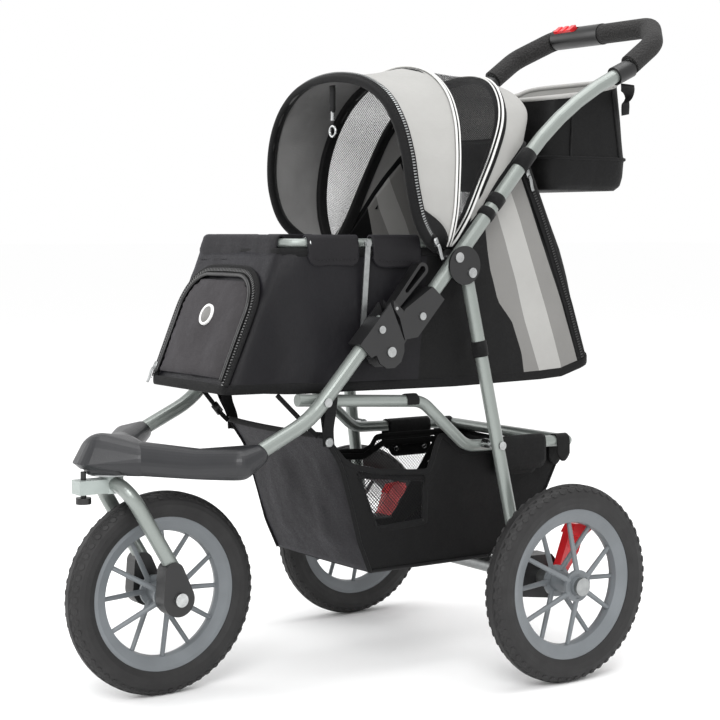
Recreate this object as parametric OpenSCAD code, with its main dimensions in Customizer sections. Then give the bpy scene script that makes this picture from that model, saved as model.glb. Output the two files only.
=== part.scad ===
// Folding three-wheel pet stroller.
// The front is towards -Y, the stroller's left side is +X, and it stands on Z = 0.
// Side-view points are [Y, Z] pairs. Sizes are in millimetres.

/* [Wheels] */
// Outside diameter of the tyres
wheel_d = 300; // [290:1:310]
// Width of a tyre
tyre_w = 38; // [32:1:44]
// Outside diameter of the rims
rim_d = 227; // [220:1:232]
// Number of spokes in a wheel
spokes = 12; // [8:2:16]
// Distance between the front and rear axles
wheelbase = 537; // [530:1:545]
// Distance from the mid-plane to the middle of a rear wheel
half_track = 283.5; // [280:0.5:290]
// Distance of the front axle behind the swivel axis
trail = 78; // [70:1:84]

/* [Frame] */
// Diameter of the main tubes
tube_d = 22; // [20:0.5:23]
// Diameter of the rear leg tubes
leg_d = 20; // [18:0.5:21]
// Diameter of the lower rail
rail_d = 18; // [16:0.5:18]
// Distance from the mid-plane to a main side tube
tube_x = 172; // [171:0.5:173]
// Distance from the mid-plane to a lower rail
rail_x = 150; // [149:0.5:151]
// Slope of the side tubes at the folding joint
tube_a = 47.5; // [47:0.5:48]
// Outward lean of the rear legs
leg_lean = 4.5; // [4:0.1:5]

/* [Handle] */
// Slope of the handlebar's plane
bar_slope = 36; // [35:0.5:37]
// Diameter of the grip
grip_d = 34; // [31:1:35]
// Length of the slide button
button_l = 44; // [36:1:50]

/* [Cabin] */
// Height of the cabin floor's underside
floor_z = 441; // [440:0.5:443]
// Height of the cabin's top edge
tub_top = 648; // [640:1:649]
// Thickness of the cabin's padded walls
wall = 4; // [3:0.5:5]
// Thickness of the floor mat
mat_t = 14; // [8:1:20]

/* [Canopy] */
// Thickness of the canopy cloth
cloth = 2; // [1.5:0.5:2.5]

/* [Basket] */
// Half the basket's width
basket_x = 134; // [128:1:136]
// Height of the basket's floor
basket_z = 168; // [160:1:180]

/* [Hidden] */
$fn = 48;

wheel_r = wheel_d / 2;
front_y = -512.5 + wheel_r;
rear_y = front_y + wheelbase;
swivel_y = front_y - trail;
tube_r = tube_d / 2;
leg_r = leg_d / 2;
rail_r = rail_d / 2;
grip_r = grip_d / 2;
// folding pivot, canopy pivot, leg pivot, rail pivot, rail and leg bolt
fold_p = [-84, 503];
bow_p = [40.5, 639];
leg_p = [65.5, 616];
rail_p = [-192, 435];
rail_end = [290, 345];
bolt_p = [112.5, 354];
strut_top = [-102.5, 660];
strut_low = [-112, 522];
trigger_p = [-74, 566];
axle_p = [rear_y, wheel_r];
collar_p = [379, 930.5];
bar_end = (512.5 - grip_r - 1 - collar_p[0]) / cos(bar_slope);
front_pts = [[-335, 353.3], [-215, 410], [-88, 548.6]];
upper_pts = [[-38, 542], [258.5, 877], collar_p - [3.2, 1.42]];
rail_pts = [[-222, 437], [0, 424], [85, 350], rail_end];
// x, distance up the handlebar's plane
bar_pts = [[tube_x, 3], [tube_x, 84], [118, bar_end], [-118, bar_end], [-tube_x, 84], [-tube_x, 3]];

function unit(v) = v / norm(v);
function cross2(a, b) = a[0] * b[1] - a[1] * b[0];
function left_of(v) = [-v[1], v[0]];
// the tangent length that a fillet of radius r takes up at the corner a, b, c
function turn(a, b, c) = atan2(cross2(b - a, c - b), (b - a) * (c - b));
function tan_len(p, i, r) =
  (i == 0 || i == len(p) - 1) ? 0 : r * tan(abs(turn(p[i - 1], p[i], p[i + 1])) / 2);

// the points p with each inner corner rounded to radius bend
function rounded(p, bend) =
  [for (i = [0 : len(p) - 1])
    let (
      ends = i == 0 || i == len(p) - 1,
      u = ends ? [1, 0] : unit(p[i] - p[i - 1]),
      d = ends ? 0 : turn(p[i - 1], p[i], p[i + 1]),
      s = d > 0 ? 1 : -1,
      c = p[i] - u * tan_len(p, i, bend) + left_of(u) * bend * s,
      n = ends ? 0 : max(2, ceil(abs(d) / 6))
    )
    for (k = [0 : n])
      ends ? p[i] :
      let (a = atan2(u[1], u[0]) - 90 * s + d * k / n) c + bend * [cos(a), sin(a)]];

// a round tube of radius r in the XY plane along the points p, its corners bent to radius bend
module path_tube(p, bend, r, ns = 24) {
  q = rounded(p, bend);
  n = len(q) - 1;
  function ahead(i) = unit(unit(q[min(i + 1, n)] - q[min(i, n - 1)]) + unit(q[max(i, 1)] - q[max(i - 1, 0)]));
  pts = [for (i = [0 : n]) for (j = [0 : ns - 1])
    let (m = left_of(ahead(i)) * r * cos(j * 360 / ns))
    [q[i][0] + m[0], q[i][1] + m[1], r * sin(j * 360 / ns)]];
  faces = concat(
    [[for (j = [0 : ns - 1]) j]],
    [[for (j = [ns - 1 : -1 : 0]) n * ns + j]],
    [for (i = [0 : n - 1]) for (j = [0 : ns - 1])
      [i * ns + j, (i + 1) * ns + j, (i + 1) * ns + (j + 1) % ns]],
    [for (i = [0 : n - 1]) for (j = [0 : ns - 1])
      [i * ns + j, (i + 1) * ns + (j + 1) % ns, i * ns + (j + 1) % ns]]
  );
  polyhedron(pts, faces, convexity = 8);
}

// a straight round rod in the XY plane from a to b
module rod(a, b, r) {
  u = b - a;
  translate([a[0], a[1], 0])
    rotate([0, 90, atan2(u[1], u[0])])
      cylinder(r = r, h = norm(u));
}

// puts a drawing of [Y, Z] points in the side plane at x
module side(x) {
  translate([x, 0, 0])
    rotate([90, 0, 90])
      children();
}

// a plate of [Y, Z] outline between x0 and x1
module plate(p, x0, x1) {
  side(x0)
    linear_extrude(x1 - x0)
      polygon(p);
}

// a rod along X through the side-view point p
module pin(p, x0, x1, r) {
  translate([x0, p[0], p[1]])
    rotate([0, 90, 0])
      cylinder(r = r, h = x1 - x0);
}

module mirrored(s) {
  if (s > 0) children();
  else mirror([1, 0, 0]) children();
}

// a dome-headed bolt along X, its head at x1
module bolt(p, x0, x1, r) {
  pin(p, x0, x1, r);
  pin(p, x1, x1 + 2.2, r * 1.9);
}

// a line moved sideways by d, and where two such lines meet
function meet(a, b, c, e) =
  let (u = b - a, v = e - c, t = cross2(c - a, v) / cross2(u, v)) a + u * t;
// a counterclockwise outline moved inwards by d
function inset(p, d) =
  let (n = len(p))
  [for (i = [0 : n - 1])
    let (
      a = p[(i + n - 1) % n],
      b = p[i],
      c = p[(i + 1) % n],
      m = left_of(unit(b - a)) * d,
      k = left_of(unit(c - b)) * d
    )
    meet(a + m, b + m, b + k, c + k)];

// ---------------------------------------------------------------- wheels

module tyre() {
  w = tyre_w / 2;
  r = wheel_r;
  i = rim_d / 2 + 0.2;
  rotate([0, 90, 0])
    rotate_extrude($fn = 96)
      polygon([
        [i, -w + 5], [i + 9, -w + 1], [i + 18, -w], [r - 12, -w + 1], [r - 6, -w + 4],
        [r - 2.5, -w + 9], [r - 2.5, -5.5], [r, -4], [r, 4], [r - 2.5, 5.5],
        [r - 2.5, w - 9], [r - 6, w - 4], [r - 12, w - 1], [i + 18, w], [i + 9, w - 1], [i, w - 5]
      ]);
}

// rim, spokes and hub, hub_w wide
module rim(hub_w, hub_r, bore) {
  o = rim_d / 2;
  rotate([0, 90, 0]) {
    rotate_extrude($fn = 96)
      polygon([[o - 20, -8], [o - 6, -13], [o, -13], [o, 13], [o - 6, 13], [o - 20, 8], [o - 22, 0]]);
    difference() {
      union() {
        cylinder(r = hub_r, h = hub_w, center = true);
        for (s = [-1, 1])
          translate([0, 0, s * (hub_w / 2 - 8) - 2.5])
            cylinder(r = hub_r + 9, h = 5);
        for (k = [0 : spokes - 1])
          rotate([0, 0, k * 360 / spokes])
            spoke(hub_w, hub_r, k % 2 == 0 ? 1 : -1);
      }
      cylinder(r = bore, h = hub_w + 2, center = true);
    }
  }
}

module spoke(hub_w, hub_r, s) {
  a = [hub_r + 3, s * (hub_w / 2 - 8)];
  b = [rim_d / 2 - 17, s * 2];
  u = b - a;
  translate([a[0], 0, a[1]])
    rotate([0, atan2(u[0], u[1]), 0])
      cylinder(r1 = 4.2, r2 = 3.4, h = norm(u));
}

module front_tyre() {
  color("#1b1b1c") translate([0, front_y, wheel_r]) tyre();
}

module front_rim() {
  color("#85898b") translate([0, front_y, wheel_r]) rim(58, 14, 6.05);
}

module rear_tyre(s) {
  color("#1b1b1c") translate([s * half_track, rear_y, wheel_r]) tyre();
}

module rear_rim(s) {
  color("#85898b") translate([s * half_track, rear_y, wheel_r]) rim(62, 15, 6.05);
}

// ---------------------------------------------------------------- fork

crown_z = 318;
tip_top = [front_y - 18, 210];
arm_x = 47;

// one arm's points in its own leaning plane: x, distance down from the crown
fork_dir = unit([front_y - 6 - swivel_y, wheel_r + 46 - crown_z]);
fork_len = norm([front_y - 6 - swivel_y, wheel_r + 46 - crown_z]);

module fork_tube() {
  color("#a9b5ae")
    translate([0, swivel_y, crown_z])
      rotate([atan2(-fork_dir[1], -fork_dir[0]), 0, 0])
        path_tube([[-arm_x, -fork_len], [-arm_x, 0], [arm_x, 0], [arm_x, -fork_len]], 34, 11);
}

module fork_crown() {
  color("#b9c0bb")
    difference() {
      union() {
        translate([0, swivel_y, crown_z - 13]) cylinder(r = 17, h = 26);
        translate([-13, swivel_y - 56, crown_z - 12]) cube([26, 46, 20]);
        translate([0, swivel_y, crown_z + 12]) cylinder(r = 8, h = 42);
      }
      translate([0, swivel_y, crown_z])
        rotate([atan2(-fork_dir[1], -fork_dir[0]), 0, 0])
          rotate([0, 90, 0])
            cylinder(r = 11.05, h = 60, center = true);
      translate([0, swivel_y - 44, crown_z - 13]) cylinder(r = 4.05, h = 24);
    }
}

module fork_tip(s) {
  color("#232325")
    mirrored(s)
      difference() {
        union() {
          hull() {
            pin([front_y - 2, wheel_r], 34.5, 60.5, 25);
            pin([front_y - 9, wheel_r + 40], 34.5, 60.5, 15);
          }
          pin([front_y, wheel_r], 30, 35, 14);
        }
        translate([0, swivel_y, crown_z])
          rotate([atan2(-fork_dir[1], -fork_dir[0]), 0, 0])
            translate([arm_x, -fork_len, 0])
              rotate([-90, 0, 0])
                cylinder(r = 11.05, h = 60);
        pin([front_y, wheel_r], 25, 65, 6.05);
      }
}

module front_axle() {
  color("#c9ccce") {
    pin([front_y, wheel_r], -62, 62, 6);
    pin([front_y, wheel_r], 60.7, 65, 10);
    pin([front_y, wheel_r], -65, -60.7, 10);
  }
}

module lock_knob() {
  color("#29292b") {
    translate([0, swivel_y - 44, crown_z - 18]) cylinder(r = 4, h = 38);
    translate([0, swivel_y - 44, crown_z - 26]) cylinder(r = 11, h = 9);
  }
}

// ---------------------------------------------------------------- front frame

module front_tube(s) {
  color("#a9b5ae")
    mirrored(s)
      difference() {
        side(tube_x) path_tube(front_pts, 140, tube_r);
        pin(rail_p, tube_x - 20, tube_x + 20, 3.55);
        pin([-101, 536], tube_x - 20, tube_x + 20, 3.02);
      }
}

module nose_fairing() {
  color("#3a3a3d")
    difference() {
      union() {
        hull() {
          translate([0, swivel_y - 15, 358]) sphere(r = 33, $fn = 32);
          translate([0, swivel_y + 20, 352]) sphere(r = 34, $fn = 32);
          for (s = [-1, 1]) translate([s * 45, swivel_y + 22, 352]) sphere(r = 26, $fn = 32);
          translate([0, -464.5, 350]) cylinder(r = 33, h = 1, $fn = 32);
        }
        for (s = [-1, 1]) {
          hull() {
            translate([s * 45, swivel_y + 28, 353]) sphere(r = 27, $fn = 32);
            translate([s * 120, swivel_y + 76, 351]) sphere(r = 24, $fn = 32);
          }
          hull() {
            translate([s * 120, swivel_y + 76, 351]) sphere(r = 24, $fn = 32);
            translate([s * tube_x, -330, 356]) sphere(r = 22, $fn = 32);
            translate([s * tube_x, -303, 366]) sphere(r = 16, $fn = 32);
          }
        }
      }
      translate([-300, -600, 300]) cube([600, 400, 34]);
      for (s = [-1, 1]) side(s * tube_x) rod(front_pts[0] - [9, 4.25], front_pts[0] + [100, 47.25], tube_r + 0.02);
      translate([0, swivel_y, 330]) cylinder(r = 8.05, h = 46.5);
      translate([0, swivel_y, 330])
        difference() {
          cylinder(r = 49, h = 12);
          translate([0, 0, -1]) cylinder(r = 39, h = 14);
        }
    }
}

module swivel_plate() {
  color("#6b7073")
    difference() {
      translate([0, swivel_y, 331.7]) cylinder(r = 34, h = 2.2);
      translate([0, swivel_y, 325]) cylinder(r = 8.05, h = 20);
    }
}

// seam between the latch's lower and upper shells: two points on it, and its normal
seam_a = [-60, 520];
seam_b = [-85, 575];
seam_n = unit([seam_b[1] - seam_a[1], seam_a[0] - seam_b[0]]);
line_u = unit(front_pts[2] - front_pts[1]);
line_n = [line_u[1], -line_u[0]];
// a point on the lower tube's line, t along it and d towards the rear
function low_pt(t, d) = front_pts[2] + line_u * (t - 40) + line_n * d;
// a point on the upper tube's line
up_u = unit(upper_pts[1] - upper_pts[0]);
up_n = [up_u[1], -up_u[0]];
function up_pt(t, d) = [2, 587] + up_u * t + up_n * d;

module latch_base(s) {
  cheek = [
    low_pt(-18, -15), low_pt(-20, 12), fold_p + [-26, -4], fold_p + [-20, -16], fold_p + [-8, -23.5],
    fold_p + [6, -23.5], fold_p + [18, -15], fold_p + [23.5, 0],
    seam_a - seam_n * 1, seam_b - seam_n * 1, low_pt(51, -15)
  ];
  color("#2c2c2f")
    mirrored(s)
      difference() {
        union() {
          plate(cheek, tube_x - 16, tube_x - 12.5);
          plate(cheek, tube_x + 12.5, tube_x + 16);
          plate([low_pt(-18, -15), low_pt(-18, 14.5), low_pt(34, 14.5), low_pt(34, -15)],
            tube_x - 14, tube_x + 14);
        }
        side(tube_x) rod(low_pt(-60, 0), low_pt(40.2, 0), tube_r + 0.02);
        pin(fold_p, tube_x - 20, tube_x + 20, 4.05);
        pin([-101, 536], tube_x - 20, tube_x + 20, 3.02);
        pin(strut_low, tube_x - 20, 157.9, 2.53);
      }
}

module front_bolts() {
  color("#cfd3d5")
    for (s = [-1, 1])
      mirrored(s) {
        bolt(fold_p, tube_x - 16, tube_x + 16.02, 4);
        bolt([-101, 536], tube_x - 16, tube_x + 16.02, 3);
        pin(rail_p, rail_x - rail_r - 3, tube_x + tube_r + 1, 3.5);
        pin(rail_p, tube_x + tube_r + 1, tube_x + tube_r + 3, 6.5);
        pin(strut_low, 150, 157.8, 2.5);
        pin(strut_low, 149.2, 150.6, 5);
      }
}

// ---------------------------------------------------------------- cabin

// outlines, counterclockwise
tub_side = [
  [-316, floor_z + 6], [-222, floor_z], [90, floor_z + 3], [270, floor_z + 6], [328, floor_z + 22],
  [336, floor_z + 32], [277, tub_top], [-231, tub_top]
];
tub_plan = [
  [-113, -330], [113, -330], [119, -232], [136, -190], [147, -60], [149.5, 60], [149.5, 345],
  [-149.5, 345], [-149.5, 60], [-147, -60], [-136, -190], [-119, -232]
];
rear_side = [[62, tub_top + 4], [276, tub_top + 4], [221, 808], [205, 808]];

module side_block(p, reach) {
  plate(p, -reach, reach);
}

module tub_form(p, d) {
  intersection() {
    side_block(p, 200);
    translate([0, 0, 400])
      linear_extrude(500)
        polygon(d == 0 ? tub_plan : inset(tub_plan, d));
  }
}

module cabin_tub() {
  inner = inset(tub_side, wall);
  open = [for (i = [0 : 7]) i == 6 ? [277, tub_top] + [-wall * 0.4, 20] - [wall + 2, 0] :
    i == 7 ? inner[7] + [-1, 30] : inner[i]];
  color("#222226")
    difference() {
      tub_form(tub_side, 0);
      tub_form(open, wall);
      for (s = [-1, 1])
        mirrored(s)
          hull() {
            pin(bow_p, 128, 160, 12.5);
            pin([24, rim_z - 8], 128, 160, 12.5);
            pin(bow_p + [0, 20], 128, 160, 12.5);
          }
    }
}

module cabin_mat() {
  z0 = floor_z + wall + 10.5;
  color("#47474b")
    intersection() {
      translate([0, 0, z0 + 0.5])
        linear_extrude(mat_t)
          polygon(inset(tub_plan, wall + 4));
      translate([-200, -296, z0]) cube([400, 576, 100]);
    }
}

panel_a = [-316, floor_z + 6];
panel_u = unit([-231, tub_top] - panel_a);

module cabin_pocket() {
  color("#2a2a2e")
    translate([0, panel_a[0], panel_a[1]])
      rotate([atan2(panel_u[1], panel_u[0]), 0, 0])
        translate([0, 0, 0.4])
          linear_extrude(12)
            polygon(concat(
              [[-104, 10], [104, 10]],
              [for (k = [0 : 8]) [44 + 60 * cos(k * 11.25), 122 + 60 * sin(k * 11.25)]],
              [for (k = [8 : -1 : 0]) [-44 - 60 * cos(k * 11.25), 122 + 60 * sin(k * 11.25)]]
            ));
}

rim_z = 660;
rim_pts = [[143, 26], [142, -60], [123, -221], [-123, -221], [-142, -60], [-143, 26]];

module rim_tube() {
  color("#9aa19e") {
    translate([0, 0, rim_z])
      path_tube(rim_pts, 38, 7);
    for (s = [-1, 1])
      mirrored(s)
        difference() {
          hull() {
            pin(bow_p, 141, 145, 10);
            pin([24, rim_z], 141, 145, 7);
          }
          pin(bow_p, 140, 150, 4.05);
        }
  }
}

// a cloth flap folded over the rim, seen end on, with the drop outside first
module flap_section(drop, inner) {
  polygon([
    [-12, -drop], [-9.5, -drop], [-9.5, 5], [-5, 9.5], [5, 9.5], [9.5, 5], [9.5, -inner],
    [12, -inner], [12, 6], [6, 12], [-6, 12], [-12, 6]
  ]);
}

module flap_front() {
  color("#29292d")
    translate([0, -221, rim_z])
      side(-84)
        linear_extrude(168)
          flap_section(42, 24);
}

// flaps along a side: the outside is at +X, so the section is turned round
module flap_side() {
  a = [rim_pts[2][0], rim_pts[2][1]];
  u = unit([rim_pts[1][0], rim_pts[1][1]] - a);
  for (r = [[a + u * 44, a + u * 116], [[139.3, -84], [142.6, -6]]])
    translate([r[0][0], r[0][1], rim_z])
      rotate([90, 0, atan2(r[1][0] - r[0][0], r[0][1] - r[1][1])])
        linear_extrude(norm(r[1] - r[0]))
          flap_section(40, 22);
}

module flap_left() {
  color("#29292d") flap_side();
}

module flap_right() {
  color("#29292d") mirror([1, 0, 0]) flap_side();
}

strut_x = 154.2;
module struts() {
  color("#a4a9a8")
    for (s = [-1, 1])
      mirrored(s)
        difference() {
          union() {
            plate([strut_top + [-4.5, 0], strut_low + [-4.5, 0], strut_low + [4.5, 0],
              strut_top + [4.5, 0]], strut_x - 1, strut_x + 1.2);
            pin(strut_low, strut_x - 1, strut_x + 1.2, 6);
            pin(strut_top, strut_x - 1, strut_x + 1.2, 6);
            pin(strut_top, strut_x + 1.2, strut_x + 3, 4.5);
          }
          pin(strut_low, strut_x - 3, strut_x + 5, 2.55);
        }
}

// ---------------------------------------------------------------- lower rail and basket

module lower_rail() {
  color("#a9b5ae")
    difference() {
      union() {
        for (s = [-1, 1]) side(s * rail_x) path_tube(rail_pts, 45, rail_r);
        pin(rail_end, -rail_x, rail_x, rail_r);
        for (s = [-1, 1]) translate([s * rail_x, rail_end[0], rail_end[1]]) sphere(r = rail_r);
      }
      for (s = [-1, 1]) mirrored(s) pin(rail_p, rail_x - 12, rail_x + 12, 3.55);
    }
}

basket_out = [
  [-72, basket_z], [146, basket_z + 1], [262, 268], [296, 334], [60, 334], [30, 313], [-108, 331],
  [-158, 386], [-166, 386], [-112, 262]
];

module basket() {
  inner = inset(basket_out, 3);
  open = [inner[0], inner[1], inner[2], inner[2] + [50, 100], [84, 450], [-200, 450],
    inner[9] + (basket_out[8] - basket_out[9]) * 1.3, inner[9]];
  color("#232327")
    difference() {
      side_block(basket_out, basket_x);
      side_block(open, basket_x - 3);
    }
}

// ---------------------------------------------------------------- upper frame

module upper_tube(s) {
  color("#a9b5ae")
    mirrored(s)
      difference() {
        side(tube_x) path_tube(upper_pts, 540, tube_r);
        pin(bow_p, tube_x - 20, tube_x + 20, 4.02);
        pin([-28, 553.5], tube_x - 20, tube_x + 20, 3.02);
      }
}

module latch_top(s) {
  body = [
    seam_a + seam_n * 0.6, [-36, 523], up_pt(0, 14.5), up_pt(0, -14.5), [-58, 565.5],
    [-69, 552]
  ];
  color("#2c2c2f")
    mirrored(s)
      difference() {
        union() {
          plate(body, tube_x - 16, tube_x + 16);
          plate([seam_b + seam_n * 1.2 + [4.8, -10], [-66, 548], [-62, 562.5], [-80.5, 578]],
            tube_x - 16, tube_x + 16);
          plate([fold_p + [-6, -13], fold_p + [10, -11], [-50, 524], [-64, 545], fold_p + [-13, 6]],
            tube_x - 12, tube_x + 12);
          pin(fold_p, tube_x - 12, tube_x + 12, 14);
        }
        side(tube_x) rod(upper_pts[0], up_pt(20, 0), tube_r + 0.02);
        pin(fold_p, tube_x - 20, tube_x + 20, 4.05);
        pin(trigger_p, tube_x - 9.5, tube_x + 9.5, 14);
        pin(trigger_p, tube_x - 20, tube_x + 20, 2.52);
        pin([-28, 553.5], tube_x - 20, tube_x + 20, 3.02);
      }
}

module trigger(s) {
  a = trigger_p;
  b = a + line_u * 76;
  h = line_n;
  color("#262629")
    mirrored(s)
      difference() {
        union() {
          plate([a - h * 6, a + h * 6, b + h * 10, b - h * 10], tube_x - 9, tube_x + 9);
          pin(a, tube_x - 9, tube_x + 9, 6);
          pin(b, tube_x - 9, tube_x + 9, 10);
        }
        hull() {
          pin(a + line_u * 34, tube_x - 20, tube_x + 20, 3);
          pin(b, tube_x - 20, tube_x + 20, 5);
        }
        pin(a, tube_x - 20, tube_x + 20, 2.55);
      }
}

module pivot_plate(s) {
  c = [52, 627];
  color("#303033")
    mirrored(s)
      difference() {
        union() {
          pin(c, tube_x + tube_r + 0.5, tube_x + tube_r + 4, 29);
          pin(bow_p, tube_x - tube_r - 2.7, tube_x - tube_r - 0.3, 12);
          pin(leg_p, tube_x - tube_r - 2.7, tube_x - tube_r - 0.3, 12);
          plate([bow_p + [-8, -9], leg_p + [-8, -9], leg_p + [8, 9], bow_p + [8, 9]],
            tube_x - tube_r - 2.7, tube_x - tube_r - 0.3);
        }
        pin(bow_p, 130, 200, 4.02);
        pin(leg_p, 130, 200, 4.02);
      }
}

module upper_bolts() {
  color("#cfd3d5")
    for (s = [-1, 1])
      mirrored(s) {
        bolt(bow_p, 140, tube_x + tube_r + 4.02, 4);
        bolt(leg_p, tube_x - tube_r - 4, tube_x + tube_r + 4.02, 4);
        bolt([-28, 553.5], tube_x - 18, tube_x + 16.02, 3);
        pin(trigger_p, tube_x - 16, tube_x + 16, 2.5);
      }
}

// puts a drawing in the handlebar's plane
module on_bar() {
  translate([0, collar_p[0], collar_p[1]])
    rotate([bar_slope, 0, 0])
      children();
}

module handlebar() {
  color("#a9b5ae") on_bar() path_tube(bar_pts, 40, tube_r);
}

module collars() {
  color("#26262a")
    for (s = [-1, 1])
      mirrored(s)
        difference() {
          translate([tube_x, collar_p[0], collar_p[1]])
            rotate([24 - 90, 0, 0])
              translate([0, 0, -17])
                cylinder(r = 15, h = 36);
          side(tube_x) path_tube(upper_pts, 540, tube_r + 0.02);
          on_bar() path_tube(bar_pts, 40, tube_r + 0.02);
        }
}

con_x0 = -122;
con_x1 = 4;

module grip_form(keep_x0, keep_x1) {
  difference() {
    intersection() {
      on_bar() path_tube(bar_pts, 40, grip_r);
      on_bar() translate([keep_x0, 22, -40]) cube([keep_x1 - keep_x0, 300, 80]);
    }
    on_bar() path_tube(bar_pts, 40, tube_r + 0.02);
  }
}

module grip_left() {
  color("#2b2b2e") grip_form(con_x1 + 0.5, 300);
}

module grip_right() {
  color("#2b2b2e") grip_form(-300, con_x0 - 0.5 + 8);
}

module console() {
  color("#26262a")
    on_bar()
      difference() {
        translate([con_x0 + 8, bar_end, 0])
          rotate([0, 90, 0])
            cylinder(r = grip_r + 1, h = con_x1 - con_x0 - 8);
        translate([-100.4, bar_end, 0])
          rotate([0, 90, 0])
            cylinder(r = tube_r + 0.02, h = 200);
        translate([-100.4, bar_end - 40, 0])
          rotate([0, 0, 89.9])
            rotate_extrude(angle = 40)
              translate([40, 0]) circle(r = tube_r + 0.3);
        translate([con_x0 + 18, bar_end - 8.2, tube_r + 2])
          cube([button_l + 12.4, 16.4, 20]);
      }
}

module slide_button() {
  color("#d3222a")
    on_bar()
      difference() {
        translate([con_x0 + 18.2, bar_end - 8, tube_r + 2.2])
          cube([button_l, 16, 7.5]);
        for (k = [0, 1])
          translate([con_x0 + 28 + k * 16, bar_end - 9, tube_r + 8])
            cube([7, 18, 3]);
      }
}

bag_side = [[270, 744], [444, 752], [451, 790], [432, 922], [272, 893]];

module rear_bag() {
  inner = inset(bag_side, 4);
  open = [inner[0], inner[1], inner[2], inner[3] + [-3, 40], inner[4] + [0, 40]];
  color("#242428")
    difference() {
      side_block(bag_side, 128);
      side_block(open, 124);
    }
}

// ---------------------------------------------------------------- canopy

// half of each bow's line, from the pivot end to the top: X, Y, Z
hoop_half = [
  [154, 20, 650], [170, -8, 664], [183, -36, 694], [187, -52, 740], [182, -58, 790],
  [164, -61, 836], [130, -63, 874], [76, -66, 899], [0, -69, 908]
];
mid_half = [
  [152, 40, 655], [163, 38, 672], [174, 37, 706], [177, 38, 748], [172, 43, 796],
  [156, 51, 842], [124, 59, 884], [70, 66, 916], [0, 69, 928]
];
rear_half = [
  [149, 50, 655], [151, 62, 670], [153, 82, 702], [154, 104, 746], [154, 127, 791],
  [147, 150, 840], [121, 168, 880], [68, 190, 909], [0, 201, 920]
];
crest_half = [
  [149, 58, 662], [151, 73, 682], [153, 94, 708], [153, 119, 746], [152, 149, 786],
  [146, 183, 826], [122, 220, 862], [70, 243, 884], [0, 250, 890]
];
tail_half = [
  [149, 66, 662], [151, 84, 682], [153, 106, 706], [153, 134, 742], [151, 164, 777],
  [144, 192, 806], [118, 214, 817], [70, 224, 819], [0, 227, 819]
];

function both(h) = concat(h, [for (i = [len(h) - 2 : -1 : 0]) [-h[i][0], h[i][1], h[i][2]]]);
// straight out from the canopy's inside at the point p
function out_of(p) = unit([p[0] * 0.8, (p[1] - 90) * 0.35, max(p[2] - 700, 6)]);

// a panel of cloth through the rows of points, d clear of them on the outside
module panel(rows, d) {
  nk = len(rows);
  ni = len(rows[0]);
  m = nk * ni;
  pts = concat(
    [for (r = rows) for (p = r) p + out_of(p) * (d + cloth)],
    [for (r = rows) for (p = r) p + out_of(p) * d]
  );
  function q(k, i, o) = k * ni + i + o;
  function two(a, b, c, e) = [[c, b, a], [e, c, a]];
  faces = concat(
    [for (k = [0 : nk - 2]) for (i = [0 : ni - 2])
      each two(q(k, i, 0), q(k + 1, i, 0), q(k + 1, i + 1, 0), q(k, i + 1, 0))],
    [for (k = [0 : nk - 2]) for (i = [0 : ni - 2])
      each two(q(k, i, m), q(k, i + 1, m), q(k + 1, i + 1, m), q(k + 1, i, m))],
    [for (i = [0 : ni - 2])
      each two(q(0, i, 0), q(0, i + 1, 0), q(0, i + 1, m), q(0, i, m))],
    [for (i = [0 : ni - 2])
      each two(q(nk - 1, i, 0), q(nk - 1, i, m), q(nk - 1, i + 1, m), q(nk - 1, i + 1, 0))],
    [for (k = [0 : nk - 2])
      each two(q(k, 0, 0), q(k, 0, m), q(k + 1, 0, m), q(k + 1, 0, 0))],
    [for (k = [0 : nk - 2])
      each two(q(k, ni - 1, 0), q(k + 1, ni - 1, 0), q(k + 1, ni - 1, m), q(k, ni - 1, m))]
  );
  polyhedron(pts, faces, convexity = 6);
}

// the row of points a share t of the way from row a to row b
function between(a, b, t) = [for (i = [0 : len(a) - 1]) a[i] + (b[i] - a[i]) * t];

// a bent rod of radius r along the points p, 8-sided
module bent_rod(p, r) {
  n = len(p) - 1;
  ns = 8;
  function ahead(i) = unit(p[min(i + 1, n)] - p[max(i - 1, 0)]);
  pts = [for (i = [0 : n]) for (j = [0 : ns - 1])
    let (t = ahead(i), a = unit(cross(t, [0, 1, 0.2])), b = cross(t, a))
    p[i] + a * r * cos(j * 45 + 22.5) + b * r * sin(j * 45 + 22.5)];
  faces = concat(
    [[for (j = [0 : ns - 1]) j]],
    [[for (j = [ns - 1 : -1 : 0]) n * ns + j]],
    [for (i = [0 : n - 1]) for (j = [0 : ns - 1])
      [i * ns + j, (i + 1) * ns + j, (i + 1) * ns + (j + 1) % ns]],
    [for (i = [0 : n - 1]) for (j = [0 : ns - 1])
      [i * ns + j, (i + 1) * ns + (j + 1) % ns, i * ns + (j + 1) % ns]]
  );
  polyhedron(pts, faces, convexity = 6);
}

// a canopy bow with a flat eye on the pivot at each end
module bow(half, eye_x) {
  f = half[0];
  bent_rod(both(half), 3);
  for (s = [-1, 1])
    mirrored(s)
      difference() {
        union() {
          pin(bow_p, eye_x - 1.1, eye_x + 1.1, 8);
          side(eye_x - 1.1)
            linear_extrude(2.2)
              polygon([
                bow_p + unit([bow_p[1] - f[2], f[1] - bow_p[0]]) * 4,
                bow_p - unit([bow_p[1] - f[2], f[1] - bow_p[0]]) * 4,
                [f[1], f[2]] - unit([bow_p[1] - f[2], f[1] - bow_p[0]]) * 2,
                [f[1], f[2]] + unit([bow_p[1] - f[2], f[1] - bow_p[0]]) * 2
              ]);
        }
        pin(bow_p, eye_x - 3, eye_x + 3, 4.05);
      }
}

module hoop() {
  color("#2a2a2c") bow(hoop_half, 155);
}

module bow_middle() {
  color("#2a2a2c") bow(mid_half, 152.4);
}

module bow_rear() {
  color("#2a2a2c") bow(rear_half, 149.8);
}

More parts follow.
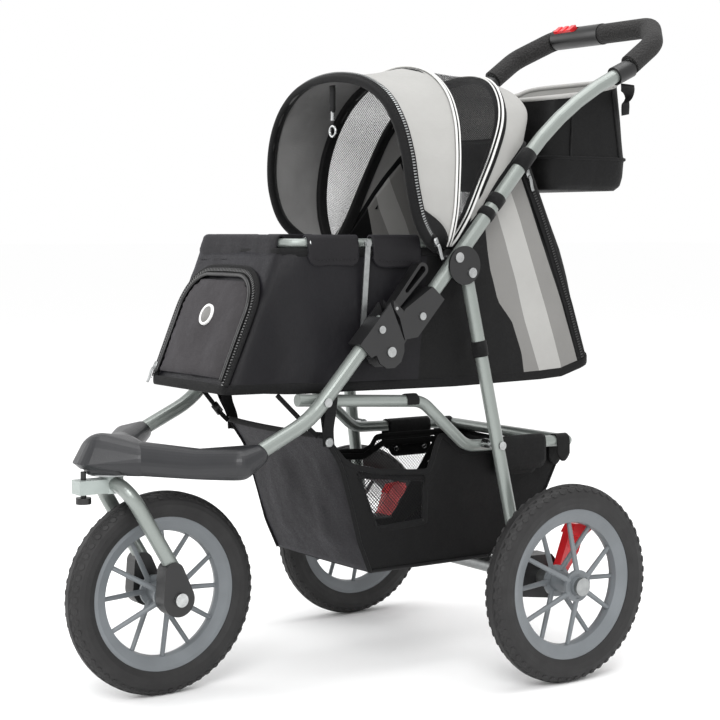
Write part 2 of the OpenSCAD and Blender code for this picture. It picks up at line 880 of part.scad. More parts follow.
module panel_front() {
  a = both(hoop_half);
  b = both(mid_half);
  color("#c4c4c2") panel([a, between(a, b, 0.33), between(a, b, 0.66), between(a, b, 0.975)], 3.8);
}

module panel_mesh() {
  a = both(mid_half);
  b = both(rear_half);
  color("#2d2d2f") panel([between(a, b, 0.025), between(a, b, 0.5), between(a, b, 0.975)], 3.8);
}

module canopy_roof() {
  a = both(rear_half);
  b = both(crest_half);
  c = both(tail_half);
  color("#c4c4c2") panel([between(a, b, 0.04), between(a, b, 0.5), b, between(b, c, 0.5), c], 4.2);
}

module cabin_rear() {
  color("#a6a6a5")
    difference() {
      side_block(rear_side, 149);
      side_block([rear_side[0] + [-20, -10], rear_side[1] + [-4.2, -10], rear_side[2] + [-4.5, 0.5],
        rear_side[2] + [-4.5, 20], rear_side[3] + [-40, 20]], 146);
    }
}

clip_p = [-60, 892];

module leash_clip() {
  p = clip_p;
  color("#b9bcbd") {
    translate([0, p[0], p[1] - 46]) cylinder(r = 3.2, h = 14);
    translate([0, p[0], p[1] - 62])
      rotate([90, 0, 0])
        rotate_extrude()
          translate([8, 0]) circle(r = 2, $fn = 24);
    translate([-6, p[0] - 1, p[1] - 32.5]) cube([12, 2, 40]);
  }
}

// ---------------------------------------------------------------- rear legs

leg_dir = unit([bolt_p[0] - leg_p[0], bolt_p[1] - leg_p[1]]);
leg_l = 468;

// puts a drawing on the left leg: its Z runs up the leg from the pivot
module on_leg() {
  translate([tube_x, leg_p[0], leg_p[1]])
    rotate([-atan2(leg_dir[0], -leg_dir[1]) * -1, 0, 0])
      rotate([0, -leg_lean, 0])
        children();
}

module leg(s) {
  color("#a9b5ae")
    mirrored(s)
      difference() {
        on_leg() translate([0, 0, -leg_l]) cylinder(r = leg_r, h = leg_l + 9);
        pin(leg_p, tube_x - 30, tube_x + 30, 4.05);
        pin(bolt_p, tube_x, tube_x + 40, 4.05);
      }
}

module rear_axle() {
  color("#a9b5ae") {
    pin(axle_p, -half_track + 34, half_track - 34, 14);
    pin(axle_p, -half_track - 34, half_track + 34, 6);
    for (s = [-1, 1]) mirrored(s) pin(axle_p, half_track + 31.5, half_track + 37, 13.5);
  }
}

pedal_p = [rear_y + 24, wheel_r + 6];

module brake_boxes() {
  color("#2a2a2c")
    for (s = [-1, 1])
      mirrored(s)
        difference() {
          plate([[rear_y - 42, wheel_r - 26], [rear_y + 14, wheel_r - 34], [rear_y + 34, wheel_r - 10],
            [rear_y + 36, wheel_r + 14], [rear_y + 18, wheel_r + 34], [rear_y - 36, wheel_r + 36]],
            194, 229);
          pin(axle_p, 180, 260, 14.05);
          pin(pedal_p, 180, 260, 4.05);
          on_leg() translate([0, 0, -leg_l - 2]) cylinder(r = leg_r + 0.05, h = leg_l + 9);
        }
}

module brake_pedal(s) {
  c = pedal_p;
  color("#cf2230")
    mirrored(s)
      difference() {
        union() {
          pin(c, 231, 246, 9);
          plate([c + [-6, 7], c + [7, -5], c + [34, 30], c + [44, 58], c + [34, 66], c + [14, 60]],
            231, 246);
          plate([c + [14, 60], c + [38, 50], c + [56, 62], c + [50, 76], c + [24, 74]], 226, 250);
        }
        pin(c, 200, 260, 4.1);
      }
}

module leg_bolts() {
  color("#cfd3d5")
    for (s = [-1, 1])
      mirrored(s) {
        pin(bolt_p, rail_x + rail_r + 1.5, tube_x + 34, 4);
        pin(bolt_p, tube_x + 31.6, tube_x + 34, 6.5);
        pin(bolt_p, rail_x + rail_r + 1.5, rail_x + rail_r + 18, 7);
        pin(pedal_p, 194, 248, 4);
      }
}

// ---------------------------------------------------------------- what is shown

front_tube_left();
front_tube_right();
nose_fairing();
swivel_plate();
latch_base_left();
latch_base_right();
front_bolts();
cabin_tub();
cabin_mat();
cabin_pocket();
rim_tube();
flap_front();
flap_left();
flap_right();
struts();
fork_tube();
fork_crown();
fork_tip_left();
fork_tip_right();
front_axle();
lock_knob();
front_tyre();
front_rim();
lower_rail();
basket();
upper_tube_left();
upper_tube_right();
latch_top_left();
latch_top_right();
pivot_plate_left();
pivot_plate_right();
upper_bolts();
handlebar();
collars();
grip_left();
grip_right();
console();
rear_bag();
canopy_roof();
cabin_rear();
trigger_left();
trigger_right();
slide_button();
hoop();
panel_front();
bow_middle();
panel_mesh();
bow_rear();
leash_clip();
leg_left();
leg_right();
rear_axle();
brake_boxes();
leg_bolts();
brake_pedal_left();
brake_pedal_right();
rear_tyre_left();
rear_rim_left();
rear_tyre_right();
rear_rim_right();

module front_tube_left() { front_tube(1); }
module front_tube_right() { front_tube(-1); }
module latch_base_left() { latch_base(1); }
module latch_base_right() { latch_base(-1); }
module fork_tip_left() { fork_tip(1); }
module fork_tip_right() { fork_tip(-1); }
module upper_tube_left() { upper_tube(1); }
module upper_tube_right() { upper_tube(-1); }
module latch_top_left() { latch_top(1); }
module latch_top_right() { latch_top(-1); }
module pivot_plate_left() { pivot_plate(1); }
module pivot_plate_right() { pivot_plate(-1); }
module trigger_left() { trigger(1); }
module trigger_right() { trigger(-1); }
module leg_left() { leg(1); }
module leg_right() { leg(-1); }
module brake_pedal_left() { brake_pedal(1); }
module brake_pedal_right() { brake_pedal(-1); }
module rear_tyre_left() { rear_tyre(1); }
module rear_tyre_right() { rear_tyre(-1); }
module rear_rim_left() { rear_rim(1); }
module rear_rim_right() { rear_rim(-1); }
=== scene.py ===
import math

import bmesh
import bpy
import numpy as np
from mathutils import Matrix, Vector, noise


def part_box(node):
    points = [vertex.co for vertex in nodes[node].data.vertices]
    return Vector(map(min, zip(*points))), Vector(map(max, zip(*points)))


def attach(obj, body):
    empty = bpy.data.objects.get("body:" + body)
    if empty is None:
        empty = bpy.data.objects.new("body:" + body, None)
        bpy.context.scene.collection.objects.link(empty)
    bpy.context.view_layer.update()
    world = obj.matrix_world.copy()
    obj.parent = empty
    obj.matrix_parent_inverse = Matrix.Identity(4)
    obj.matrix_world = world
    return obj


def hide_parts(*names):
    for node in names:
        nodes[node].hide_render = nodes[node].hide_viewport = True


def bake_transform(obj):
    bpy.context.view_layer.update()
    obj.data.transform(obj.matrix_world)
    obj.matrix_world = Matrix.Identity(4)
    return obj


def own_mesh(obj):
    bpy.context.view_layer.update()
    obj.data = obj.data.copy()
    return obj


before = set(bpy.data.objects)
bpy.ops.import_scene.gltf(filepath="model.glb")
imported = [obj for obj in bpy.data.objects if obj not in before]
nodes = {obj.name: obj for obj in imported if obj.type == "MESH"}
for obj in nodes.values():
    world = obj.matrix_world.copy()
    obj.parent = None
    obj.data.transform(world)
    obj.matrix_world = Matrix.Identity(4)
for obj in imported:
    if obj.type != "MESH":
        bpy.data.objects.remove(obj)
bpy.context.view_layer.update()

SIDES = ((1, "left"), (-1, "right"))

# ------------------------------------------------------------------ camera

scene = bpy.context.scene
scene.view_settings.view_transform = "Standard"
camera = bpy.data.objects.new("camera", bpy.data.cameras.new("camera"))
scene.collection.objects.link(camera)
camera.data.lens = 84.87
camera.location = (2.1723, -1.5275, 0.6796)
camera.rotation_euler = (math.radians(90 - 4.387), math.radians(-0.15), math.radians(55.04))
scene.camera = camera


# ------------------------------------------------------------------ materials

class Nodes:
    """A small helper that adds shader nodes and links them."""

    def __init__(self, name, color, rough, metal=0.0):
        self.mat = bpy.data.materials.new(name)
        self.mat.use_nodes = True
        self.tree = self.mat.node_tree
        self.bsdf = self.tree.nodes["Principled BSDF"]
        self.bsdf.inputs["Base Color"].default_value = (*color, 1)
        self.bsdf.inputs["Roughness"].default_value = rough
        self.bsdf.inputs["Metallic"].default_value = metal
        self.at = self.add("ShaderNodeTexCoord").outputs["Object"]

    def add(self, kind, links=None, **values):
        n = self.tree.nodes.new(kind)
        for k, v in values.items():
            if k in n.inputs:
                n.inputs[k].default_value = v
            else:
                setattr(n, k, v)
        for k, v in (links or {}).items():
            self.tree.links.new(v, n.inputs[k])
        return n

    def link(self, a, b):
        self.tree.links.new(a, b)

    def noise(self, scale, detail=4, rough=0.5):
        n = self.add("ShaderNodeTexNoise", {"Vector": self.at}, Scale=scale, Detail=detail)
        n.inputs["Roughness"].default_value = rough
        return n.outputs["Fac"]

    def ramp(self, fac, stops):
        r = self.add("ShaderNodeValToRGB", {"Fac": fac})
        e = r.color_ramp.elements
        while len(e) < len(stops):
            e.new(0.5)
        for x, (p, c) in zip(e, stops):
            x.position = p
            x.color = (*c, 1) if len(c) == 3 else c
        return r.outputs["Color"]

    def math(self, kind, a, b=None):
        m = self.tree.nodes.new("ShaderNodeMath")
        m.operation = kind
        for i, v in enumerate((a, b)):
            if v is None:
                continue
            if isinstance(v, (int, float)):
                m.inputs[i].default_value = v
            else:
                self.link(v, m.inputs[i])
        return m.outputs[0]

    def bands(self, period):
        """Three sets of fine bands, one along each axis, from 0 to 1."""
        out = []
        for axis in "XYZ":
            w = self.add("ShaderNodeTexWave", {"Vector": self.at}, bands_direction=axis)
            w.inputs["Scale"].default_value = 0.314 / period
            w.inputs["Distortion"].default_value = 0.4
            w.inputs["Detail"].default_value = 0
            out.append(w.outputs["Fac"])
        return out

    def weave(self, period):
        """Threads crossing at right angles, on a surface that faces any way."""
        x, y, z = self.bands(period)
        return self.math("ADD", self.math("MULTIPLY", x, y),
                         self.math("ADD", self.math("MULTIPLY", y, z), self.math("MULTIPLY", z, x)))

    def bump(self, height, strength, distance, under=None):
        b = self.add("ShaderNodeBump", {"Height": height}, Strength=strength, Distance=distance)
        if under:
            self.link(under, b.inputs["Normal"])
        return b.outputs["Normal"]

    def finish(self, color=None, normal=None, rough=None, alpha=None):
        for socket, value in (("Base Color", color), ("Normal", normal), ("Roughness", rough),
                              ("Alpha", alpha)):
            if value is not None:
                self.link(value, self.bsdf.inputs[socket])
        return self.mat


def shade(c, k):
    return tuple(min(1.0, v * k) for v in c)


def uneven_rough(n, value, strength, offset):
    """Roughness that varies round a level, by a noise value."""
    out = n.math("MULTIPLY_ADD", value, strength)
    n.tree.nodes[-1].inputs[2].default_value = offset
    return out


def cloth(name, color, rough=0.85, sheen=0.15, period=0.0013, creases=0.35, vary=0.12, tint=None):
    """Woven polyester: crossing threads, soft creases and slightly uneven dye."""
    n = Nodes(name, color, rough)
    n.bsdf.inputs["Sheen Weight"].default_value = sheen
    n.bsdf.inputs["Sheen Roughness"].default_value = 0.45
    n.bsdf.inputs["Sheen Tint"].default_value = (*(tint or (1, 1, 1)), 1)
    n.bsdf.inputs["Specular IOR Level"].default_value = 0.20
    broad = n.noise(7, 5, 0.6)
    base = n.ramp(broad, [(0.3, shade(color, 1 - vary)), (0.7, shade(color, 1 + vary))])
    fold = n.bump(n.noise(20, 2.5, 0.45), creases, 0.010)
    grain = n.bump(n.noise(900, 2, 0.6), 0.22, 0.0006, fold)
    weave = n.bump(n.weave(period), 0.2, 0.0004, grain)
    speck = uneven_rough(n, n.noise(300, 2), 0.3, rough - 0.15)
    return n.finish(base, weave, speck)


def net(name, color, thread, period=0.004, own=False):
    """A knitted mesh: threads that cross on the slant round small open cells."""
    n = Nodes(name, color, 0.8)
    n.bsdf.inputs["Specular IOR Level"].default_value = 0.3
    at = n.add("ShaderNodeAttribute", attribute_name="cloth_place").outputs["Vector"] if own else n.at
    x, y, z = n.add("ShaderNodeSeparateXYZ", {"Vector": at}).outputs
    u, v = (x, y) if own else (y, z)
    turns = 2 * math.pi / period
    one = n.math("SINE", n.math("MULTIPLY", n.math("ADD", u, v), turns))
    two = n.math("SINE", n.math("MULTIPLY", n.math("SUBTRACT", u, v), turns))
    weft = n.math("MAXIMUM", one, two)
    solid = n.math("GREATER_THAN", weft, 1 - 2 * thread)
    color_out = n.ramp(n.noise(9, 3), [(0.3, shade(color, 0.85)), (0.7, shade(color, 1.2))])
    bump = n.bump(weft, 0.5, 0.0006, n.bump(n.noise(25, 3), 0.3, 0.01))
    return n.finish(color_out, bump, None, solid)


def plastic(name, color, rough=0.5, grain=0.18, scale=900, coat=0.0):
    """Moulded plastic with a fine grain, polished a little where it is handled."""
    n = Nodes(name, color, rough)
    n.bsdf.inputs["Coat Weight"].default_value = coat
    n.bsdf.inputs["Coat Roughness"].default_value = 0.2
    base = n.ramp(n.noise(14, 5), [(0.3, shade(color, 0.88)), (0.7, shade(color, 1.14))])
    fine = n.bump(n.noise(scale, 3, 0.7), grain, 0.0006, n.bump(n.noise(60, 3), 0.05, 0.003))
    worn = uneven_rough(n, n.noise(18, 4), 0.3, rough - 0.15)
    return n.finish(base, fine, worn)


def paint(name, color, rough=0.34, metal=0.55):
    """Powder coat with a fine metallic fleck."""
    n = Nodes(name, color, rough, metal)
    n.bsdf.inputs["Coat Weight"].default_value = 0.35
    n.bsdf.inputs["Coat Roughness"].default_value = 0.18
    fleck = n.ramp(n.noise(1500, 2, 0.8), [(0.35, shade(color, 0.9)), (0.65, shade(color, 1.1))])
    bump = n.bump(n.noise(700, 2), 0.06, 0.0003, n.bump(n.noise(45, 2), 0.02, 0.002))
    scuff = uneven_rough(n, n.noise(25, 5, 0.65), 0.25, rough - 0.12)
    return n.finish(fleck, bump, scuff)


def metal(name, color, rough=0.25):
    """Bare metal, drawn and a little rubbed."""
    n = Nodes(name, color, rough, 1.0)
    tone = n.ramp(n.noise(120, 4), [(0.3, shade(color, 0.85)), (0.7, shade(color, 1.1))])
    line = n.bump(n.noise(500, 3, 0.8), 0.12, 0.0003)
    rub = uneven_rough(n, n.noise(90, 4), 0.3, rough - 0.13)
    return n.finish(tone, line, rub)


def rubber(name, color, rough=0.62):
    """Tyre rubber with dusty and worn places."""
    n = Nodes(name, color, rough)
    n.bsdf.inputs["Specular IOR Level"].default_value = 0.45
    tone = n.ramp(n.noise(30, 6, 0.7), [(0.35, shade(color, 0.75)), (0.6, color), (0.8, shade(color, 1.5))])
    bump = n.bump(n.noise(800, 3), 0.15, 0.0005, n.bump(n.noise(90, 3), 0.08, 0.002))
    rub = uneven_rough(n, n.noise(40, 4), 0.35, rough - 0.17)
    return n.finish(tone, bump, rub)


def foam(name, color):
    """Closed-cell foam with a pebbled skin."""
    n = Nodes(name, color, 0.78)
    v = n.add("ShaderNodeTexVoronoi", {"Vector": n.at}, Scale=260.0)
    tone = n.ramp(v.outputs["Distance"], [(0.0, shade(color, 1.5)), (0.6, shade(color, 0.7))])
    bump = n.bump(v.outputs["Distance"], 1.0, 0.0018)
    return n.finish(tone, bump)


# the two greys of the hood and the side stripes
LIGHT = (0.345, 0.342, 0.330)
MID = (0.190, 0.187, 0.180)
M = {
    "paint": paint("silver_green_paint", (0.235, 0.258, 0.243), metal=0.5),
    "black_cloth": cloth("black_polyester", (0.0060, 0.0057, 0.0070), rough=0.5, sheen=0.05,
                         tint=(0.62, 0.6, 0.85), creases=0.4),
    "side_cloth": cloth("black_side_cloth", (0.0026, 0.0026, 0.0028), rough=0.6, sheen=0.01, creases=0.35),
    "flap_cloth": cloth("flap_cloth", (0.0085, 0.0080, 0.0092), rough=0.6, sheen=0.05,
                        tint=(0.7, 0.68, 0.85), creases=0.28, vary=0.06),
    "light_cloth": cloth("light_grey_cloth", LIGHT, rough=0.8, sheen=0.12, creases=0.32, vary=0.05),
    "mid_cloth": cloth("mid_grey_cloth", MID, rough=0.8, sheen=0.12, creases=0.3, vary=0.06),
    "lining": cloth("silver_lining", (0.27, 0.267, 0.26), rough=0.6, sheen=0.1, creases=0.4, vary=0.1),
    "dark_lining": cloth("dark_lining", (0.175, 0.174, 0.172), rough=0.7, sheen=0.1, creases=0.4, vary=0.1),
    "dark_net": net("black_net", (0.006, 0.006, 0.0065), 0.12, 0.0032, own=True),
    "open_net": net("basket_net", (0.008, 0.008, 0.0085), 0.034, 0.0058),
    "tape": cloth("black_webbing", (0.0035, 0.0035, 0.0038), rough=0.75, sheen=0.05, period=0.002,
                  creases=0.1),
    "piping": cloth("white_piping", (0.66, 0.66, 0.645), rough=0.6, sheen=0.1, period=0.0009, creases=0.05,
                    vary=0.03),
    "pocket_cloth": cloth("pocket_cloth", (0.027, 0.0245, 0.026), rough=0.66, sheen=0.08,
                          tint=(0.8, 0.78, 0.9), creases=0.4),
    "mat": cloth("mat_cloth", (0.06, 0.06, 0.064), rough=0.9, sheen=0.1, creases=0.3),
    "plastic": plastic("charcoal_plastic", (0.0095, 0.0095, 0.010), rough=0.42, grain=0.25, scale=1100),
    "saddle": plastic("grained_plastic", (0.011, 0.0115, 0.0135), rough=0.36, grain=0.30, scale=1000),
    "smooth_plastic": plastic("black_plastic", (0.006, 0.006, 0.0063), rough=0.34, grain=0.06),
    "red": plastic("red_plastic", (0.62, 0.016, 0.022), rough=0.33, grain=0.06, coat=0.4),
    "rim": plastic("grey_rim", (0.135, 0.148, 0.158), rough=0.45, grain=0.1, coat=0.1),
    "crown": plastic("pale_grey_casting", (0.30, 0.335, 0.32), rough=0.4, grain=0.12),
    "tyre": rubber("tyre_rubber", (0.0125, 0.012, 0.0123)),
    "metal": metal("bright_steel", (0.44, 0.45, 0.45)),
    "dull_metal": metal("dull_steel", (0.33, 0.34, 0.34), 0.38),
    "foam": foam("foam_grip", (0.0105, 0.0098, 0.0096)),
    "wire": paint("black_wire", (0.02, 0.02, 0.02), 0.4, 0.2),
    "white": plastic("white_print", (0.75, 0.75, 0.74), rough=0.5, grain=0.05),
}


def dress(o, key):
    """Gives a mesh one material."""
    o.data.materials.clear()
    o.data.materials.append(M[key])


# ------------------------------------------------------------------ shapes

def mesh_object(name, verts, faces, materials, slots=None, smooth=True):
    me = bpy.data.meshes.new(name)
    me.from_pydata([tuple(map(float, v)) for v in verts], [], faces)
    for m in materials:
        me.materials.append(M[m])
    if slots is not None:
        me.polygons.foreach_set("material_index", slots)
    me.polygons.foreach_set("use_smooth", [smooth] * len(me.polygons))
    me.update()
    o = bpy.data.objects.new(name, me)
    scene.collection.objects.link(o)
    return o


def face_out(o, merge=None):
    """Joins points closer than merge, then turns every face outwards."""
    b = bmesh.new()
    b.from_mesh(o.data)
    if merge:
        bmesh.ops.remove_doubles(b, verts=b.verts, dist=merge)
    bmesh.ops.recalc_face_normals(b, faces=b.faces)
    b.to_mesh(o.data)
    b.free()
    return o


def along(line, v):
    """Second coordinate of a line of (first, second) points, where the first is v."""
    return np.interp(v, *zip(*line))


def positions(o):
    """Where an object's points are, one row each."""
    return np.array([v.co for v in o.data.vertices])


def steps(p):
    """How far along a line of points each of them is."""
    return np.r_[0, np.cumsum(np.linalg.norm(np.diff(p, axis=0), axis=1))]


def sheet_faces(nr, nc, closed=False):
    span = nc if closed else nc - 1
    return [(r * nc + c, r * nc + (c + 1) % nc, (r + 1) * nc + (c + 1) % nc, (r + 1) * nc + c)
            for r in range(nr - 1) for c in range(span)]


def sheet_object(name, grid, materials, column_slots=None, closed=False, thick=0.0, inner=0, edge=0,
                 offset=-1.0):
    """A sheet of cloth through a rows x columns grid of points, thickened inwards."""
    nr, nc, _ = grid.shape
    faces = sheet_faces(nr, nc, closed)
    slots = None
    if column_slots is not None:
        span = nc if closed else nc - 1
        slots = [column_slots(r, c) for r in range(nr - 1) for c in range(span)]
    o = mesh_object(name, grid.reshape(-1, 3), faces, materials, slots)
    down = np.cumsum(np.r_[0, np.linalg.norm(np.diff(grid, axis=0), axis=2).mean(1)])
    across = np.cumsum(np.r_[0, np.linalg.norm(np.diff(grid, axis=1), axis=2).mean(0)])
    place = np.stack([np.broadcast_to(across[None], (nr, nc)), np.broadcast_to(down[:, None], (nr, nc)),
                      np.zeros((nr, nc))], -1)
    o.data.attributes.new("cloth_place", "FLOAT_VECTOR",
                          "POINT").data.foreach_set("vector", place.astype(np.float32).ravel())
    b = bmesh.new()
    b.from_mesh(o.data)
    bmesh.ops.remove_doubles(b, verts=b.verts, dist=1e-5)
    bmesh.ops.dissolve_degenerate(b, edges=b.edges, dist=1e-5)
    b.to_mesh(o.data)
    b.free()
    if thick:
        s = o.modifiers.new("thick", "SOLIDIFY")
        s.thickness = thick
        s.offset = offset
        s.material_offset = inner
        s.material_offset_rim = edge
        apply(o)
    return o


def apply(o):
    bpy.context.view_layer.update()
    dg = bpy.context.evaluated_depsgraph_get()
    me = bpy.data.meshes.new_from_object(o.evaluated_get(dg), depsgraph=dg)
    o.modifiers.clear()
    o.data = me
    return o


def thicken(o, thick):
    """Gives a sheet its thickness, half on each side."""
    m = o.modifiers.new("thick", "SOLIDIFY")
    m.thickness, m.offset = thick, 0.0
    return apply(o)


def subdivide(o, levels=1):
    m = o.modifiers.new("smooth", "SUBSURF")
    m.levels = m.render_levels = levels
    return apply(o)


def curve(points, n):
    """n points along a smooth line through the given points."""
    p = np.asarray(points, float)
    p = np.vstack([2 * p[0] - p[1], p, 2 * p[-1] - p[-2]])
    seg = len(p) - 3
    out = []
    for t in np.linspace(0, seg, n):
        i = min(int(t), seg - 1)
        u = t - i
        a, b, c, d = p[i:i + 4]
        out.append(0.5 * (2 * b + (c - a) * u + (2 * a - 5 * b + 4 * c - d) * u ** 2
                          + (3 * b - a - 3 * c + d) * u ** 3))
    return np.array(out)


def even(points, n):
    """n points at equal steps along a line of points."""
    p = np.asarray(points, float)
    s = steps(p)
    return np.array([[np.interp(t, s, p[:, k]) for k in range(p.shape[1])]
                     for t in np.linspace(0, s[-1], n)])


def sweep(name, path, outline, material, up=None, closed=False, cap=True):
    """Carries an outline of (across, up) points along a path. up is one vector, or one for each point."""
    p = np.asarray(path, float)
    n = len(p)
    ahead = np.roll(p, -1, 0) - np.roll(p, 1, 0) if closed else np.gradient(p, axis=0)
    ahead /= np.linalg.norm(ahead, axis=1)[:, None]
    up = np.broadcast_to(np.asarray(up if up is not None else (0, 0, 1), float), p.shape)
    across = np.cross(ahead, up)
    across /= np.maximum(np.linalg.norm(across, axis=1), 1e-9)[:, None]
    lift = np.cross(across, ahead)
    k = len(outline)
    verts = [p[i] + across[i] * a + lift[i] * b for i in range(n) for a, b in outline]
    rows = n if closed else n - 1
    faces = [(i * k + j, i * k + (j + 1) % k, ((i + 1) % n) * k + (j + 1) % k, ((i + 1) % n) * k + j)
             for i in range(rows) for j in range(k)]
    if cap and not closed:
        faces += [tuple(range(k))[::-1], tuple((n - 1) * k + j for j in range(k))]
    return face_out(mesh_object(name, verts, faces, [material]))


def round_outline(rx, ry, n=10, power=2.0):
    t = np.arange(n) * 2 * math.pi / n
    c, s = np.cos(t), np.sin(t)
    return np.c_[rx * np.sign(c) * np.abs(c) ** (2 / power), ry * np.sign(s) * np.abs(s) ** (2 / power)]


def join(name, objects):
    """One object from several, keeping their materials."""
    b = bmesh.new()
    mats, keys = [], {}
    for o in objects:
        start = len(b.faces)
        me = o.data
        b.from_mesh(me)
        b.faces.ensure_lookup_table()
        index = []
        for m in me.materials:
            if m.name not in keys:
                keys[m.name] = len(mats)
                mats.append(m)
            index.append(keys[m.name])
        for f in b.faces[start:]:
            f.material_index = index[f.material_index] if index else 0
    me = bpy.data.meshes.new(name)
    b.to_mesh(me)
    b.free()
    for m in mats:
        me.materials.append(m)
    for o in objects:
        bpy.data.objects.remove(o)
    o = bpy.data.objects.new(name, me)
    scene.collection.objects.link(o)
    return o


def zip_teeth(name, path, up, width=0.006, step=0.0042, material="dull_metal"):
    """A row of small teeth along a path."""
    p = np.asarray(path, float)
    length = np.linalg.norm(np.diff(p, axis=0), axis=1).sum()
    pts = even(p, max(3, int(length / step)))
    ahead = np.gradient(pts, axis=0)
    ahead /= np.linalg.norm(ahead, axis=1)[:, None]
    s = steps(p)
    ups = np.array(np.broadcast_to(np.asarray(up, float), p.shape))
    ups = np.stack([np.interp(np.linspace(0, s[-1], len(pts)), s, ups[:, k]) for k in range(3)], 1)
    across = np.cross(ahead, ups)
    across /= np.linalg.norm(across, axis=1)[:, None]
    lift = np.cross(across, ahead)
    verts, faces = [], []
    for i, c in enumerate(pts):
        a, w, h = ahead[i] * step * 0.27, across[i] * width / 2, lift[i] * 0.0011
        base = len(verts)
        verts += [c + x * a + y * w + z * h for z in (-1, 1) for x,
                  y in ((-1, -1), (1, -1), (0.6, 1), (-0.6, 1))]
        faces += [tuple(base + k for k in f) for f in
                  ((3, 2, 1, 0), (4, 5, 6, 7), (0, 1, 5, 4), (1, 2, 6, 5), (2, 3, 7, 6), (3, 0, 4, 7))]
    return mesh_object(name, verts, faces, [material], smooth=False)


def unit_rows(v):
    return v / np.maximum(np.linalg.norm(v, axis=-1), 1e-9)[..., None]


def mirrored(half):
    """The whole line of a shape that is the same on both sides, from its +X end to its -X end."""
    h = np.asarray(half, float)
    return np.vstack([h, h[-2::-1] * (-1, 1, 1)])


def rounded_path(points, radius, step=0.004):
    """A flat path with its corners rounded."""
    p = np.asarray(points, float)
    out = [p[0]]
    for a, b, c in zip(p, p[1:], p[2:]):
        u, v = unit_rows(a - b), unit_rows(c - b)
        half = math.acos(max(-1, min(1, float(u @ v)))) / 2
        t = min(radius / math.tan(half), 0.45 * np.linalg.norm(a - b), 0.45 * np.linalg.norm(c - b))
        for k in np.linspace(0, 1, 9):
            out.append((1 - k) ** 2 * (b + u * t) + 2 * k * (1 - k) * b + k * k * (b + v * t))
    out.append(p[-1])
    length = np.linalg.norm(np.diff(out, axis=0), axis=1).sum()
    return even(out, int(length / step))


def stitches(name, path, up, material="tape", length=0.0035, gap=0.0022, width=0.0008):
    """A row of short raised stitches along a path. up is one vector, or one for each point."""
    p = np.asarray(path, float)
    total = np.linalg.norm(np.diff(p, axis=0), axis=1).sum()
    n = max(3, int(total / (length + gap)) + 1)
    s = steps(p)
    t = np.linspace(0, s[-1], n)
    ups = np.array(np.broadcast_to(np.asarray(up, float), p.shape))
    at = lambda q: np.stack([np.interp(t, s, q[:, k]) for k in range(3)], 1)
    pts, ups = at(p), unit_rows(at(ups))
    ahead = unit_rows(np.gradient(pts, axis=0))
    across = unit_rows(np.cross(ahead, ups))
    verts, faces = [], []
    for c, a, w, h in zip(pts, ahead, across, ups):
        k = len(verts)
        verts += [c - a * length / 2, c + a * length / 2, c + w * width, c + h * width * 0.9,
                  c - w * width, c - h * width * 0.9]
        faces += [(k, k + 2 + i, k + 2 + (i + 1) % 4) for i in range(4)]
        faces += [(k + 1, k + 2 + (i + 1) % 4, k + 2 + i) for i in range(4)]
    return mesh_object(name, verts, faces, [material])


# ------------------------------------------------------------------ canopy

HOOP = mirrored([(.154, .020, .650), (.170, -.008, .664), (.183, -.036, .694), (.187, -.052, .740),
                 (.182, -.058, .790),
                 (.164, -.061, .836), (.130, -.063, .874), (.076, -.066, .899), (0, -.069, .908)])
MIDDLE = mirrored([(.152, .040, .655), (.163, .038, .672), (.174, .037, .706), (.177, .038, .748),
                   (.172, .043, .796),
                   (.156, .051, .842), (.124, .059, .884), (.070, .066, .916), (0, .069, .928)])
REAR = mirrored([(.149, .050, .655), (.151, .062, .670), (.153, .082, .702), (.154, .104, .746),
                 (.154, .127, .791),
                 (.147, .150, .840), (.121, .168, .880), (.068, .190, .909), (0, .201, .920)])
CREST = mirrored([(.149, .058, .662), (.151, .073, .682), (.153, .094, .708), (.153, .119, .746),
                  (.152, .149, .786),
                  (.146, .183, .826), (.122, .220, .862), (.070, .243, .884), (0, .250, .890)])
TAIL = mirrored([(.149, .066, .662), (.151, .084, .682), (.153, .106, .706), (.153, .134, .742),
                 (.151, .164, .777),
                 (.144, .192, .806), (.118, .214, .817), (.070, .224, .819), (0, .227, .819)])
ACROSS = 97


def outward(p):
    return unit_rows(np.stack([p[..., 0] * 0.8, (p[..., 1] - 0.09) * 0.35,
                               np.maximum(p[..., 2] - 0.7, 0.006)], -1))


def panel_grid(lines, rows, lift, sag, seed, wave):
    """A sheet over two or more bow lines, a little slack between them."""
    l = [curve(x, ACROSS) for x in lines]
    if len(l) == 2:
        g = np.array([l[0] + (l[1] - l[0]) * t for t in np.linspace(0, 1, rows)])
        dip = np.sin(np.linspace(0, 1, rows) * math.pi)
    else:
        g = np.array([curve([x[k] for x in l], rows) for k in range(ACROSS)]).transpose(1, 0, 2)
        dip = np.zeros(rows)
    out = outward(g)
    g = g + out * (lift - sag * dip[:, None, None])
    width = np.linalg.norm(l[0] - l[-1], axis=1)
    edge = np.minimum(1, np.minimum(np.linspace(0, 1, rows), 1 - np.linspace(0, 1, rows)) * 6)
    soft = np.clip(width / 0.08, 0, 1)
    for r in range(rows):
        for c in range(ACROSS):
            q = Vector(g[r, c])
            s = q * 13 + Vector((seed, seed * 0.3, 0))
            pull = Vector((q.x * 30, q.y * 9, q.z * 30)) + Vector((seed, 0, 0))
            h = noise.noise(s) * 0.8 + noise.noise(pull) * 0.7 + noise.noise(s * 3.1) * 0.25
            g[r, c] += out[r, c] * h * wave * edge[r] * soft[c]
    return g


